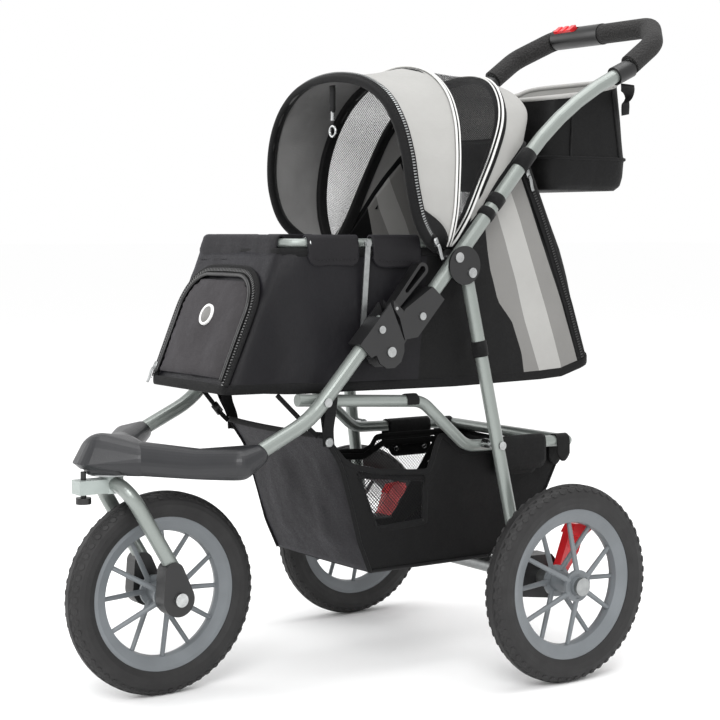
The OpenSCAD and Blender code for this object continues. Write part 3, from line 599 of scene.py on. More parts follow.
def piped(name, line, lift, radius, material, shift=0.0, ends=(0.0, 1.0)):
    """A round cord of piping along a bow line."""
    n = 141
    p = curve(line, n)
    p = p[int(ends[0] * (n - 1)):int(ends[1] * (n - 1)) + 1]
    o = outward(p)
    across = unit_rows(np.cross(np.gradient(p, axis=0), o))
    return sweep(name, p + o * lift + across * shift, round_outline(radius, radius, 8), material, up=o)


def ribbon(name, line, lift, width, thick, material, shift=0.0, ends=(0.0, 1.0), n=121):
    p = curve(line, n)
    p = p[int(ends[0] * (n - 1)):int(ends[1] * (n - 1)) + 1]
    o = outward(p)
    across = unit_rows(np.cross(np.gradient(p, axis=0), o))
    return sweep(name, p + o * lift + across * shift, round_outline(width / 2, thick / 2, 12, 4), material,
                 up=o)


g = panel_grid([HOOP, MIDDLE], 25, 0.0052, 0.004, 3.0, 0.0022)
hood_front = sheet_object("hood_front", g[:, ::-1], ["light_cloth", "dark_lining", "tape"], thick=0.0016,
                          inner=1, edge=1)
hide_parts("panel_front")
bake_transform(hood_front)
g = panel_grid([MIDDLE, REAR], 25, 0.0052, 0.004, 7.0, 0.0018)
hood_net = sheet_object("hood_net", g[:, ::-1], ["dark_net", "dark_net", "tape"], thick=0.0012, inner=1,
                        edge=1)
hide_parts("panel_mesh")
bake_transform(hood_net)
g = panel_grid([REAR, CREST, TAIL], 25, 0.0052, 0.0, 11.0, 0.0020)
hood_roof = sheet_object("hood_roof", g[:, ::-1], ["light_cloth", "lining", "tape"], thick=0.0016, inner=1,
                         edge=1)
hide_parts("canopy_roof")
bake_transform(hood_roof)


def blend_rows(o, lines):
    """Works out how far each point has gone from the first bow line to the second, but keeps nothing."""
    co = positions(o)
    a, b = curve(lines[0], 193), curve(lines[1], 193)
    w = np.zeros(len(co))
    for i, p in enumerate(co):
        d = np.linalg.norm(a - p, axis=1) + np.linalg.norm(b - p, axis=1)
        k = int(np.argmin(d))
        u = b[k] - a[k]
        w[i] = float(np.clip((p - a[k]) @ u / max(u @ u, 1e-9), 0, 1))


blend_rows(hood_front, (HOOP, MIDDLE))
blend_rows(hood_net, (MIDDLE, REAR))
blend_rows(hood_roof, (REAR, CREST))

# black binding round the hoop, with the teeth of the cover's zip, and a second row inside
p = curve(HOOP, 161)
o = outward(p)
hem = [(-.0052, .0008), (-.0044, .0044), (-.0010, .0066), (.0070, .0076), (.0135, .0074), (.0142, .0058),
       (.0080, .0058),
       (.0040, .0040), (.0036, -.0024), (.0090, -.0026), (.0092, -.0042), (0, -.0048), (-.0040, -.0036)]
binding = sweep("hoop_binding", p, hem, "tape", up=o)
zip_line = unit_rows(np.cross(np.gradient(p, axis=0), o))
z1 = zip_teeth("hoop_zip", p + o * 0.0080 + zip_line * 0.0092, o, width=0.0044)
s1 = stitches("hoop_stitch", p + o * 0.0074 + zip_line * 0.0030, o)
for x in (binding, z1, s1):
    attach(x, "canopy_front")

pip = join("middle_piping",
           [piped("a", MIDDLE, 0.0072, 0.0019, "piping"),
            piped("b", MIDDLE, 0.0060, 0.0013, "piping", 0.006)])
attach(pip, "canopy_middle")
tape = ribbon("middle_sleeve", MIDDLE, 0.0, 0.019, 0.0092, "tape")
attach(tape, "canopy_middle")
pip = join("rear_piping",
           [piped("a", REAR, 0.0072, 0.0019, "piping"), piped("b", REAR, 0.0060, 0.0013, "piping", -0.006)])
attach(pip, "canopy_back")
tape = ribbon("rear_sleeve", REAR, 0.0, 0.019, 0.0092, "tape")
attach(tape, "canopy_back")
tape = ribbon("roof_hem", TAIL, 0.0046, 0.012, 0.0030, "tape")
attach(tape, "upper_frame")

# ------------------------------------------------------------------ cabin

FLOOR_LINE = [(-.316, .447), (-.222, .441), (.09, .444), (.27, .447), (.328, .463), (.336, .473)]
PLAN = [(-.33, .113), (-.232, .119), (-.212, .128), (-.19, .136), (-.12, .1425), (-.06, .147),
        (.06, .1495), (.345, .1495)]
RIM_Z = 0.649                                            # the open edge
SIDE_X = 0.1495                                          # half the width between the straight sides
FRONT_FOOT, REAR_FOOT = 0.447, 0.473                     # where the sloping ends start


def side_x(y):
    """Half the cabin's width at a place along it."""
    return along(PLAN, y)


def floor_at(y):
    """Height of the floor's edge at a place along the cabin."""
    return along(FLOOR_LINE, y)


def front_at(z):
    """How far forward the sloping front is at a height."""
    return -0.316 + (z - FRONT_FOOT) * 0.085 / 0.201


def rear_at(z):
    """How far back the sloping rear wall is at a height."""
    return 0.336 - (z - REAR_FOOT) * 0.059 / 0.175


# the seams on the side, as (Z, Y): the stripes lie between them
SEAMS = [
    [(.449, .201), (.489, .194), (.539, .174), (.571, .145), (.619, .129), (.670, .121), (.715, .1135)],
    [(.455, .233), (.539, .200), (.601, .181), (.663, .159), (.711, .138), (.737, .130)],
    [(.464, .277), (.553, .245), (.632, .214), (.694, .189), (.733, .170), (.766, .156)],
    [(.456, .317), (.560, .279), (.647, .240), (.725, .207), (.759, .192), (.790, .177)],
]
LOW, HIGH = 21, 17


def seam_line(points, rows, top):
    """A seam from the floor to the rim, or from the rim up to the canopy."""
    if top:
        y1 = points[-1][1]
        x1, z1 = np.interp(y1, TAIL_Y, TAIL_X), np.interp(y1, TAIL_Y, TAIL_Z)
        z = np.linspace(RIM_Z, z1, rows)
        y = along(points, z)
        return np.stack([np.linspace(float(side_x(y[0])), x1, rows), y, z], 1)
    y0 = points[0][1]
    z = np.linspace(float(floor_at(y0)), RIM_Z, rows)
    y = along(points, z)
    return np.stack([side_x(y), y, z], 1)


half_tail = TAIL[:9]
TAIL_Y, TAIL_X, TAIL_Z = half_tail[:6, 1], half_tail[:6, 0], half_tail[:6, 2]


def upright(rows, top, kind, inset=0.0):
    """Lines from floor to rim, or above it, that aren't seams."""
    if not top:
        t = np.linspace(0, 1, rows)
        if kind == "front":
            z = FRONT_FOOT + (RIM_Z - FRONT_FOOT) * t
            y = front_at(z)
            w = side_x(y)
            if inset < 0:                                   # the middle
                return np.stack([w * 0, y, z], 1)
            if inset == 0:                                  # just round the corner
                return np.stack([w, y + 0.022, np.maximum(z, floor_at(y + 0.022))], 1)
            return np.stack([w - inset, y, z], 1)
        if kind == "side":
            z = floor_at(inset) + (RIM_Z - floor_at(inset)) * t
            return np.stack([side_x(z * 0 + inset), z * 0 + inset, z], 1)
        if kind == "edge":
            z = 0.470 + (RIM_Z - 0.470) * t
            return np.stack([z * 0 + SIDE_X, rear_at(z) - 0.016, z - 0.008 * (1 - t)], 1)
        z = REAR_FOOT + (RIM_Z - REAR_FOOT) * t
        return np.stack([z * 0 + inset, rear_at(z) + 0.001, z], 1)
    t = np.linspace(0, 1, rows)[:, None]
    if kind == "side":
        a, b = np.array((.1493, inset, RIM_Z)), half_tail[0] + (0, .001, .001)
    elif kind == "edge":
        a, b = np.array((SIDE_X, rear_at(RIM_Z) - 0.016, RIM_Z)), half_tail[5] + (0, -.004, -.004)
    else:
        a = np.array((inset, rear_at(RIM_Z) + 0.001, RIM_Z))
        b = half_tail[6] if inset > 0.05 else half_tail[8]
    return a + (b - a) * t


def shell_half(rows, top):
    """Half of the cabin's cloth below or above the rim: a grid, and which cloth each column has."""
    names = []
    if not top:
        names += [(upright(rows, top, "front", -1), 14, 0), (upright(rows, top, "front", 0.02), 4, 0),
                  (upright(rows, top, "front", 0), 26, 0)]
    names += [(upright(rows, top, "side", 0.062), 7, 0)]
    names += [(seam_line(SEAMS[0], rows, top), 5, 1), (seam_line(SEAMS[1], rows, top), 6, 2),
              (seam_line(SEAMS[2], rows, top), 5, 1), (seam_line(SEAMS[3], rows, top), 5, 0)]
    names += [(upright(rows, top, "edge"), 4, 0), (upright(rows, top, "rear", 0.1335), 14, 0),
              (upright(rows, top, "rear", 0), 0, 0)]
    cols, slots = [], []
    for (a, n, s), (b, _, _) in zip(names, names[1:]):
        for k in range(n):
            cols.append(a + (b - a) * (k / n))
            slots.append(s)
    cols.append(names[-1][0])
    g = np.array(cols).transpose(1, 0, 2)
    corner = [sum(n for _, n, _ in names[:i]) for i in range(len(names))]
    if not top:
        i = corner[1]
        for k, push in zip(range(1, 4), (.0045, .0058, .0045)):
            g[:, i + k] += np.array((push, -push, 0))
        for k in range(corner[2], corner[3] + 1):
            g[:, k, 0] = side_x(g[:, k, 1])
    i = corner[-3]
    for k, push in zip(range(1, 4), (.0032, .0042, .0032)):
        g[:, i + k] += np.array((push, push, 0))
    return g, slots


def crease(g, seed, amount):
    """Soft folds in a hanging side, square to the sheet."""
    du, dv = np.gradient(g, axis=0), np.gradient(g, axis=1)
    n = unit_rows(np.cross(dv, du))
    for r in range(g.shape[0]):
        for c in range(g.shape[1]):
            q = Vector(g[r, c])
            a = amount(r / (g.shape[0] - 1), q)
            h = noise.noise(Vector((q.x * 12, q.y * 14 + q.z * 10, q.z * 7 - q.y * 6))
                            + Vector((seed, 0, 0)))
            h += 0.5 * noise.noise(Vector((q.x * 30, q.y * 38 + q.z * 25, q.z * 16)) + Vector((0, seed, 0)))
            g[r, c] += n[r, c] * h * a
    return g


def both_sides(g, slots):
    whole = np.concatenate([g, g[:, -2:0:-1] * (-1, 1, 1)], axis=1)
    return whole, slots + slots[::-1]


g, slots = shell_half(LOW, False)
w, s = both_sides(g, slots)


def bulge(t):
    """0 at both ends and 1 in the middle."""
    return 4 * t * (1 - t)


w = crease(w, 2.0, lambda t, q: bulge(t) ** 0.7 * (0.0062 if q.y < -0.06 else 0.0024))
FAB = ["side_cloth", "mid_cloth", "light_cloth", "black_cloth", "tape", "dark_net"]
front_slot = [3 if w[0, c, 1] < -0.02 else s[c] for c in range(len(s))]
low = sheet_object("low", w, FAB, lambda r, c: front_slot[c], closed=True)
g, slots = shell_half(HIGH, True)
whole = np.concatenate([g, g[:, -2::-1] * (-1, 1, 1)], axis=1)
slots2 = slots + slots[::-1]
whole = crease(whole, 5.0, lambda t, q: bulge(t) ** 0.7 * 0.0016)
NET_TOP = (3, 13)


def upper_slot(r, c):
    x = abs(whole[r, c, 0] + whole[r, c + 1, 0]) / 2
    flat = whole[r, c, 1] > np.interp(whole[r, c, 2], (.649, .808), (.272, .205))
    return 5 if flat and x < 0.098 and NET_TOP[0] <= r < NET_TOP[1] else slots2[c]


high = sheet_object("high", whole, FAB, upper_slot)
cabin = join("cabin_shell", [low, high])
face_out(cabin, merge=0.0012)
thicken(cabin, 0.0022)
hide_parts("cabin_tub", "cabin_rear")
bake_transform(cabin)

# binding along the open edge of the cabin, round the front and along both sides
edge = w[-1, :45]
edge = np.vstack([edge[::-1], edge[1:] * (-1, 1, 1)])
path = curve(edge, 181)
o = sweep("cabin_binding", path + (0, 0, -.002), round_outline(.0026, .0062, 10, 3), "tape", up=(0, 0, 1))
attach(o, "front_frame")
# the turned hem over the floor board
path = curve(np.vstack([w[0], w[0, :1]])[:-1], 261)
path = np.vstack([path, path[:1]])
o = sweep("cabin_hem", path[:-1] + (0, 0, .006), round_outline(.0024, .0072, 10, 3), "tape", up=(0, 0, 1),
          closed=True)
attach(o, "front_frame")

# floor: a board wrapped in cloth, rising at the back
ys = np.linspace(-.312, .332, 45)
half = np.linspace(-1, 1, 25)
grid = np.array([[(side_x(y) * k * 0.985, y, floor_at(y) + 0.0022 - 0.0016 * (1 - k * k)) for k in half]
                 for y in ys])
o = sheet_object("cabin_floor", grid, ["side_cloth"], thick=0.0034, offset=1.0)
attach(o, "front_frame")

# padded floor mat
lo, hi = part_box("cabin_mat")
inner = lambda y: float(side_x(y)) - 0.0155
ys = np.linspace(lo.y + 0.008, hi.y - 0.012, 41)
rows = []
for k in np.linspace(-1, 1, 23):
    rows.append([(inner(y) * k, y, 0) for y in ys])
top = np.array(rows)
depth = np.array([[min(1, (1 - abs(k)) * 9) ** 0.5 * min(1, (1 - abs(v)) * 14) ** 0.5
                   for v in np.linspace(-1, 1, 41)]
                  for k in np.linspace(-1, 1, 23)])
mid_z = (lo.z + hi.z) / 2
up_side, down_side = top.copy(), top.copy()
up_side[..., 2] = mid_z + 0.0035 * depth
down_side[..., 2] = mid_z - 0.0045 * depth
b1 = sheet_object("b1", up_side, ["mat"])
b2 = sheet_object("b2", down_side, ["mat"])
mat = join("floor_mat", [b1, b2])
face_out(mat, merge=0.0008)


def inflate(o, voxel=0.005, pressure=4.0, cap=0.006, frames=20, back=None):
    """Swells a closed form with Blender's cloth, and keeps each point within cap of where it began."""
    r = o.modifiers.new("remesh", "REMESH")
    r.mode = "VOXEL"
    r.voxel_size = voxel
    apply(o)
    start = positions(o)
    if back is not None:
        held = o.vertex_groups.new(name="held")
        held.add([i for i, p in enumerate(start) if back(p)], 1.0, "REPLACE")
    c = o.modifiers.new("cloth", "CLOTH")
    c.settings.quality = 5
    c.settings.use_pressure = True
    c.settings.uniform_pressure_force = pressure
    c.settings.effector_weights.gravity = 0
    c.collision_settings.use_self_collision = False
    if back is not None:
        c.settings.vertex_group_mass = "held"
    c.point_cache.frame_start = 1
    c.point_cache.frame_end = frames
    for f in range(1, frames + 1):
        scene.frame_set(f)
    apply(o)
    scene.frame_set(1)
    now = positions(o)
    move = now - start
    size = np.linalg.norm(move, axis=1)
    move *= np.minimum(1, cap / np.maximum(size, 1e-9))[:, None]
    o.data.vertices.foreach_set("co", (start + move).astype(np.float32).ravel())
    o.data.polygons.foreach_set("use_smooth", [True] * len(o.data.polygons))
    subdivide(o)
    return o


def bend_points(o, f):
    co = positions(o)
    o.data.vertices.foreach_set("co", f(co).astype(np.float32).ravel())
    o.data.update()


inflate(mat, 0.005, 4.0, 0.005)


def quilt(co):
    top = np.clip((co[:, 2] - mid_z) / 0.003, 0, 1)
    line = np.minimum(np.abs((co[:, 1] + 0.296) % 0.096 - 0.048), np.abs(np.abs(co[:, 0]) - 0.048))
    co[:, 2] -= top * 0.0030 * np.exp(-(line / 0.0045) ** 2)
    co[:, 2] = np.clip(co[:, 2], lo.z - 0.0005, hi.z + 0.004)
    return co


bend_points(mat, quilt)
dress(mat, "mat")
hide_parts("cabin_mat")
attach(mat, "front_frame")

# front pocket: a soft arched panel with a zip round it
BASE = np.array((0, -.316, .447))
UP = unit_rows(np.array((0, .085, .201)))
OUT = np.array((0, -UP[2], UP[1]))


def on_front(x, v, out):
    x, v, out = np.broadcast_arrays(np.asarray(x, float), np.asarray(v, float), np.asarray(out, float))
    return BASE + x[..., None] * np.array((1.0, 0, 0)) + v[..., None] * UP + out[..., None] * OUT


def pocket_line(shrink=0.0, n=60):
    """The pocket's outline, up one side, over the arch and down the other, as x and height."""
    r = 0.060
    arch = [(.044 + r * math.cos(a), .122 + (r + 0.002) * math.sin(a))
            for a in np.linspace(0, math.pi / 2, 14)]
    right = np.array([(.102, .012), (.103, .06), *arch, (0, .185)])
    line = np.vstack([right, right[-2::-1] * (-1, 1)])
    line = even(line, n)
    c = np.array((0, .09))
    return c + (line - c) * (1 - shrink / np.maximum(np.linalg.norm(line - c, axis=1), 1e-6))[:, None]


ring = pocket_line(0.010, 72)
rings = [np.array((0, .088)) + (ring - (0, .088)) * k for k in (1, .985, .94, .86, .74, .58, .4, .2)]
heights = [0.0, .5, .8, .95, 1, 1, 1, 1]
verts, faces = [], []
for sign in (1, -1):
    base = len(verts)
    for rr, h in zip(rings, heights):
        verts += [tuple(p)
                  for p in on_front(rr[:, 0], rr[:, 1], .0052 + sign * h * (.0030 if sign > 0 else .0024))]
    n = len(ring)
    for k in range(len(rings) - 1):
        for i in range(n - 1):
            f = (base + k * n + i, base + k * n + i + 1, base + (k + 1) * n + i + 1, base + (k + 1) * n + i)
            faces.append(f if sign > 0 else f[::-1])
        f = (base + k * n + n - 1, base + k * n, base + (k + 1) * n, base + (k + 1) * n + n - 1)
        faces.append(f if sign > 0 else f[::-1])
    last = tuple(base + (len(rings) - 1) * n + i for i in range(n))
    faces.append(last if sign > 0 else last[::-1])
pocket = mesh_object("front_pocket", verts, faces, ["black_cloth"])
face_out(pocket, merge=0.0004)
inflate(pocket, 0.004, 4.0, 0.006, back=lambda p: float((p - BASE) @ OUT) < .0045)


def dimple(co):
    h = (co - BASE) @ OUT
    v = (co - BASE) @ UP
    fold = np.array([noise.noise(Vector((q[0] * 22 + q[2] * 9, 1.0, q[2] * 26))) for q in co])
    return co + np.outer(np.clip(h / .008, 0, 1) * fold * 0.0016 * np.clip(v / .03, 0, 1), OUT)


bend_points(pocket, dimple)
dress(pocket, "pocket_cloth")
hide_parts("cabin_pocket")
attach(pocket, "front_frame")


def pocket_path(shrink, out, n=150):
    q = pocket_line(shrink, n)
    return on_front(q[:, 0], q[:, 1], out)


border = sweep("pocket_border", pocket_path(-0.002, .0030), round_outline(.0085, .0024, 12, 3), "tape",
               up=OUT)
tube = sweep("pocket_piping", pocket_path(0.0075, .0072), round_outline(.0031, .0031, 10),
             "smooth_plastic", up=OUT)
teeth = zip_teeth("pocket_zip", pocket_path(-0.001, .0056), OUT, width=.0052, material="wire")
seam = stitches("pocket_stitch", pocket_path(-0.0072, .0052), OUT)
for x in (border, tube, teeth, seam):
    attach(x, "front_frame")


def disc(name, centre, normal, across, profile, material, n=40):
    """A turned piece: profile is (radius, height) from the middle outwards."""
    centre = np.asarray(centre, float)
    normal, across = (unit_rows(np.asarray(v, float)) for v in (normal, across))
    other = np.cross(normal, across)
    verts, faces = [centre + normal * profile[0][1]], []
    for r, h in profile[1:]:
        verts += [centre + normal * h + (across * math.cos(t) + other * math.sin(t)) * r
                  for t in np.arange(n) * 2 * math.pi / n]
    for i in range(n):
        faces.append((0, 1 + i, 1 + (i + 1) % n))
    for k in range(len(profile) - 2):
        a = 1 + k * n
        for i in range(n):
            faces.append((a + i, a + n + i, a + n + (i + 1) % n, a + (i + 1) % n))
    faces.append(tuple(1 + (len(profile) - 2) * n + i for i in range(n))[::-1])
    return face_out(mesh_object(name, verts, faces, [material]))


at = on_front(0.0, .112, .0115)
ring_badge = disc("badge_ring", at, OUT, (1, 0, 0),
                  [(0, .0012), (.0125, .0012), (.0132, .0026), (.0155, .0030), (.0165, .0024),
                   (.0168, -.004), (0.001, -.004)], "white")
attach(ring_badge, "front_frame")
face = disc("badge_face", at, OUT, (1, 0, 0),
            [(0, .0020), (.0124, .0020), (.0126, .0012), (.0126, -.003), (0.001, -.003)], "mid_cloth")
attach(face, "front_frame")


def zip_pull(name, at, down, normal, body, scale=1.0):
    """A slider with its tab hanging down."""
    at = np.asarray(at, float)
    d, nn = unit_rows(np.asarray(down, float)), unit_rows(np.asarray(normal, float))
    side = np.cross(d, nn)
    s = scale
    slider = sweep("s", [at - d * .006 * s, at, at + d * .006 * s],
                   [(-.0042 * s, -.0012), (.0042 * s, -.0012), (.0030 * s, .0028), (-.0030 * s, .0028)],
                   "dull_metal", up=nn)
    tab = sweep("t",
                [at + d * (.004 + .004 * k) * s + nn * (.0034 + .0008 * math.sin(k)) for k in range(7)],
                round_outline(.0028 * s, .0009, 10, 4), "dull_metal", up=nn)
    o = join(name, [slider, tab])
    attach(o, body)
    return o


zip_pull("pocket_pull", on_front(-.104, .026, .007), -UP + np.array((-.1, 0, 0)), OUT, "front_frame")

# flaps hanging over the rim
RIM = rounded_path([(.143, .026, .66), (.142, -.060, .66), (.123, -.221, .66), (-.123, -.221, .66),
                    (-.142, -.060, .66), (-.143, .026, .66)], 0.038, 0.003)


FLAP_OFF = .0098                                         # from the middle of the rim tube to the cloth


def flap(name, path, drop, inner, seed, wave, corner=0.014, node=None):
    """A padded flap folded over the rim tube: drop is its length outside, inner its length inside."""
    n = len(path)
    ahead = unit_rows(np.gradient(path, axis=0))
    out = np.cross(ahead, (0, 0, 1))
    s = steps(path)
    rows = []
    for i in range(n):
        d = min(s[i], s[-1] - s[i])
        cut = corner * (1 - math.sqrt(max(0, 1 - (1 - min(1, d / corner)) ** 2)))
        long = drop - cut
        col = []
        for t in np.linspace(1, 0, 15):
            col.append((FLAP_OFF + .0026 * math.sin(math.pi * min(1, t * 1.05)) + .0034 * t ** 3,
                        -t * (long - .004) + .004))
        for a in np.linspace(0, math.pi, 11)[1:-1]:
            col.append((FLAP_OFF * math.cos(a), .004 + .0085 * math.sin(a)))
        for t in np.linspace(0, 1, 7):
            col.append((-FLAP_OFF, .004 - t * (inner - cut * 0.5)))
        rows.append([path[i] + out[i] * a + np.array((0, 0, z)) for a, z in col])
    g = np.array(rows).transpose(1, 0, 2)
    for r in range(g.shape[0]):
        fall = max(0.0, 1 - r / 15)
        for c in range(n):
            q = Vector(g[r, c])
            h = noise.noise(Vector((q.x * 24, q.y * 24, q.z * 9)) + Vector((seed, 0, 0)))
            h += .4 * noise.noise(q * 60)
            g[r, c] += out[c] * h * wave * (0.2 + 1.6 * fall)
            g[r, c, 2] += .0022 * fall ** 3 * noise.noise(q * 34 + Vector((seed, 0, 0)))
    o = sheet_object(name, g[::-1], ["flap_cloth"], thick=0.0030, offset=1.0)
    line = g[1] + out * 0.0036 + np.array((0, 0, .0055))
    seam = stitches(name + "_stitch", line[3:-3], out[3:-3])
    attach(o, "cabin_rim")
    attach(seam, "cabin_rim")
    if node:
        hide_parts(node)
    return o


RIM = RIM[::-1]                                      # so that the outside is on the right of the path
front_part = np.array([p for p in RIM if p[1] < -.2185 and abs(p[0]) < .114])
near_part = np.array([p for p in RIM if p[0] > 0 and -.194 < p[1] < -.110])
near_part2 = np.array([p for p in RIM if p[0] > 0 and -.090 < p[1] < -.006])
f = flap("front_flap", front_part, .042, .026, 1.0, .0018, node="flap_front")
for side, node in ((1, "flap_left"), (-1, "flap_right")):
    for k, part in enumerate((near_part, near_part2)):
        q = part * (side, 1, 1)
        q = q if side > 0 else q[::-1]
        name = ("left" if side > 0 else "right") + "_flap_" + "ab"[k]
        f = flap(name, q, (.040, .043)[k], .022, 3.0 + k + side, .0014, node=node)

# ------------------------------------------------------------------ basket

BOTTOM_F, BOTTOM_R = (-.078, .1695), (.146, .1695)


def basket_top(side):
    """The top edge of one side of the basket, as (Y, Z). The two sides differ."""
    common = [(-.168, .385), (-.155, .372), (-.134, .344), (-.112, .331), (-.070, .321), (-.010, .3155)]
    if side > 0:
        rest = [(.026, .3135), (.034, .332), (.043, .358), (.052, .369), (.070, .356), (.090, .338),
                (.296, .334)]
    else:
        rest = [(.094, .311), (.109, .318), (.120, .334), (.296, .334)]
    return np.array(common + rest)


BASKET_F = [(.1695, -.078), (.216, -.099), (.262, -.112), (.331, -.133), (.345, -.140), (.385, -.168)]
BASKET_R = [(.1695, .146), (.205, .205), (.268, .262), (.334, .296), (.385, .31)]
HALF = .1335                                             # half the basket's width
ROWS = 27
BASKET_LOW = .1695                                       # height of its bottom
TUCK = .0045                                             # how far its bottom edge is drawn in


def basket_side(side):
    """Columns from the front corner to the rear corner, rows from the bottom to the top edge."""
    top = basket_top(side)
    cols = []
    for f in np.linspace(0, 1, 57):
        col = []
        z = 0.3
        for _ in range(40):                                  # where this column meets the top edge
            y = along(BASKET_F, z) * (1 - f) + along(BASKET_R, z) * f
            z += (np.interp(y, top[:, 0], top[:, 1]) - z) * 0.5
        for t in np.linspace(0, 1, ROWS):
            zz = BASKET_LOW + (z - BASKET_LOW) * t
            y = along(BASKET_F, zz) * (1 - f) + along(BASKET_R, zz) * f
            x = HALF - TUCK * (1 - t) ** 2 - 0.004 * math.sin(math.pi * f) * math.sin(math.pi * t)
            col.append((side * x, y, zz))
        cols.append(col)
    return np.array(cols).transpose(1, 0, 2)


def in_window(p, side):
    """Whether a point of the basket's side lies in its mesh window."""
    y, z = p[1], p[2]
    if side > 0:
        low = np.interp(y, (-.105, -.070, .022), (.316, .231, .236))
        high = np.interp(y, (-.112, .03), (.327, .309))
        return -.105 < y < .0215 and low < z < high
    low = np.interp(y, (-.106, -.083, .20), (.316, .188, .188))
    high = np.interp(y, *basket_top(-1).T) - .004
    rear = np.interp(z, (.19, .33), (.150, .262))
    return -.105 < y < min(.25, rear) and low < z < high


BASKET_MAT = ["side_cloth", "open_net", "flap_cloth", "tape"]
pieces_made = []
for side in (1, -1):
    g = basket_side(side)
    g = crease(g, 6.0 + side, lambda t, q: bulge(t) * .0016)
    pieces_made.append((side, g))
ft = np.linspace(0, 1, ROWS)
a, c = pieces_made[0][1][:, 0], pieces_made[1][1][:, 0]
fz = BASKET_LOW + (.3835 - BASKET_LOW) * ft
fy = along(BASKET_F, fz)
cols = []
for k in np.linspace(-1, 1, 45):
    x = k * (HALF - TUCK * (1 - ft) ** 2)
    belly = (1 - k * k) * np.sin(math.pi * ft) * -.006 + (1 - abs(k) ** 6) * -.0015
    cols.append(np.stack([x, fy + belly, fz - (1 - k * k) * .003 * ft], 1))
front = crease(np.array(cols).transpose(1, 0, 2), 12.0, lambda t, q: bulge(t) ** .6 * .0034)
rz = BASKET_LOW + (.334 - BASKET_LOW) * ft
ry = along(BASKET_R, rz)
cols = []
for k in np.linspace(-1, 1, 37):
    x = k * (HALF - TUCK * (1 - ft) ** 2)
    cols.append(np.stack([x, ry + (1 - k * k) * np.sin(math.pi * ft) * .005, rz - (1 - k * k) * .004 * ft],
                         1))
rear = crease(np.array(cols).transpose(1, 0, 2), 15.0, lambda t, q: bulge(t) * .002)
by = np.linspace(BOTTOM_F[0], BOTTOM_R[0], 33)
base = np.array([[(k * (HALF - TUCK), y, BASKET_LOW - .0012 * (1 - k * k) - .0004 * math.sin(y * 60))
                  for k in np.linspace(-1, 1, 27)] for y in by])
objs = []
for side, g in pieces_made:
    def slot(r, c, g=g, side=side):
        c = c if side > 0 else g.shape[1] - 2 - c
        return int(in_window((g[r, c] + g[r + 1, c + 1]) / 2, side))

    objs.append(sheet_object("side", g if side > 0 else g[:, ::-1], BASKET_MAT, slot))
objs.append(sheet_object("front", front, BASKET_MAT, lambda r, c: 2))
objs.append(sheet_object("rear", rear[:, ::-1], BASKET_MAT, lambda r, c: 0))
objs.append(sheet_object("base", base, BASKET_MAT, lambda r, c: 0))
for o in objs:
    thicken(o, .0016)
basket = join("basket_cloth", objs)
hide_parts("basket")
basket_parts = [basket]


def strip(name, path, up, width, thick, material="tape"):
    return sweep(name, path, round_outline(width / 2, thick / 2, 12, 4), material, up=up)


for side, g in pieces_made:
    n = "left" if side > 0 else "right"
    basket_parts.append(strip(n + "_basket_binding", even(g[-1], 140), (side, 0, 0), .0085, .0036))
    seam = np.array([(side * (HALF + .0006 - TUCK * (1 - t) ** 2), along(BASKET_F, z) - .001, z) for t,
                     z in zip(ft, fz)])
    basket_parts.append(strip(n + "_basket_seam", seam, (side * .7, -.7, 0), .0065, .0040))
    seam = np.array([(side * (HALF + .0004 - TUCK * (1 - t) ** 2), along(BASKET_R, z) + .0006, z) for t,
                     z in zip(ft, rz)])
    basket_parts.append(strip(n + "_basket_rear_seam", seam, (side * .7, .7, 0), .0055, .0036))
    if side > 0:
        frame_line = [(-.105, .318), (.0225, .3035), (.0215, .237), (-.070, .2325), (-.105, .318)]
    else:
        frame_line = [(-.105, .318), (.09, .302), (.13, .322), (.245, .322), (.150, .1895), (-.083, .1895),
                      (-.105, .318)]
    line = even([(side * (HALF + .0006 - .0042), y, z) for y, z in frame_line], 120)
    basket_parts.append(strip(n + "_basket_window", line, (side, 0, 0), .0105, .0036))
    line = np.array([(side * (HALF - .0038), y, .1705) for y in np.linspace(BOTTOM_F[0], BOTTOM_R[0], 60)])
    basket_parts.append(strip(n + "_basket_foot", line, (side * .7, 0, -.7), .006, .0036))
line = front[-1] + (0, -.0004, -.002)
basket_parts.append(strip("basket_front_binding", line, (0, -1, 0), .0095, .0036))
line = rear[-1] + (0, .0004, -.002)
basket_parts.append(strip("basket_rear_binding", line, (0, 1, 0), .0095, .0036))
for x in basket_parts:
    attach(x, "basket_rail")
    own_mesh(x)

# straps of the basket: eyelet loops on the rails, flaps round the rails, ties to the cabin
def on_basket(*made):
    for x in made:
        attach(x, "basket_rail")


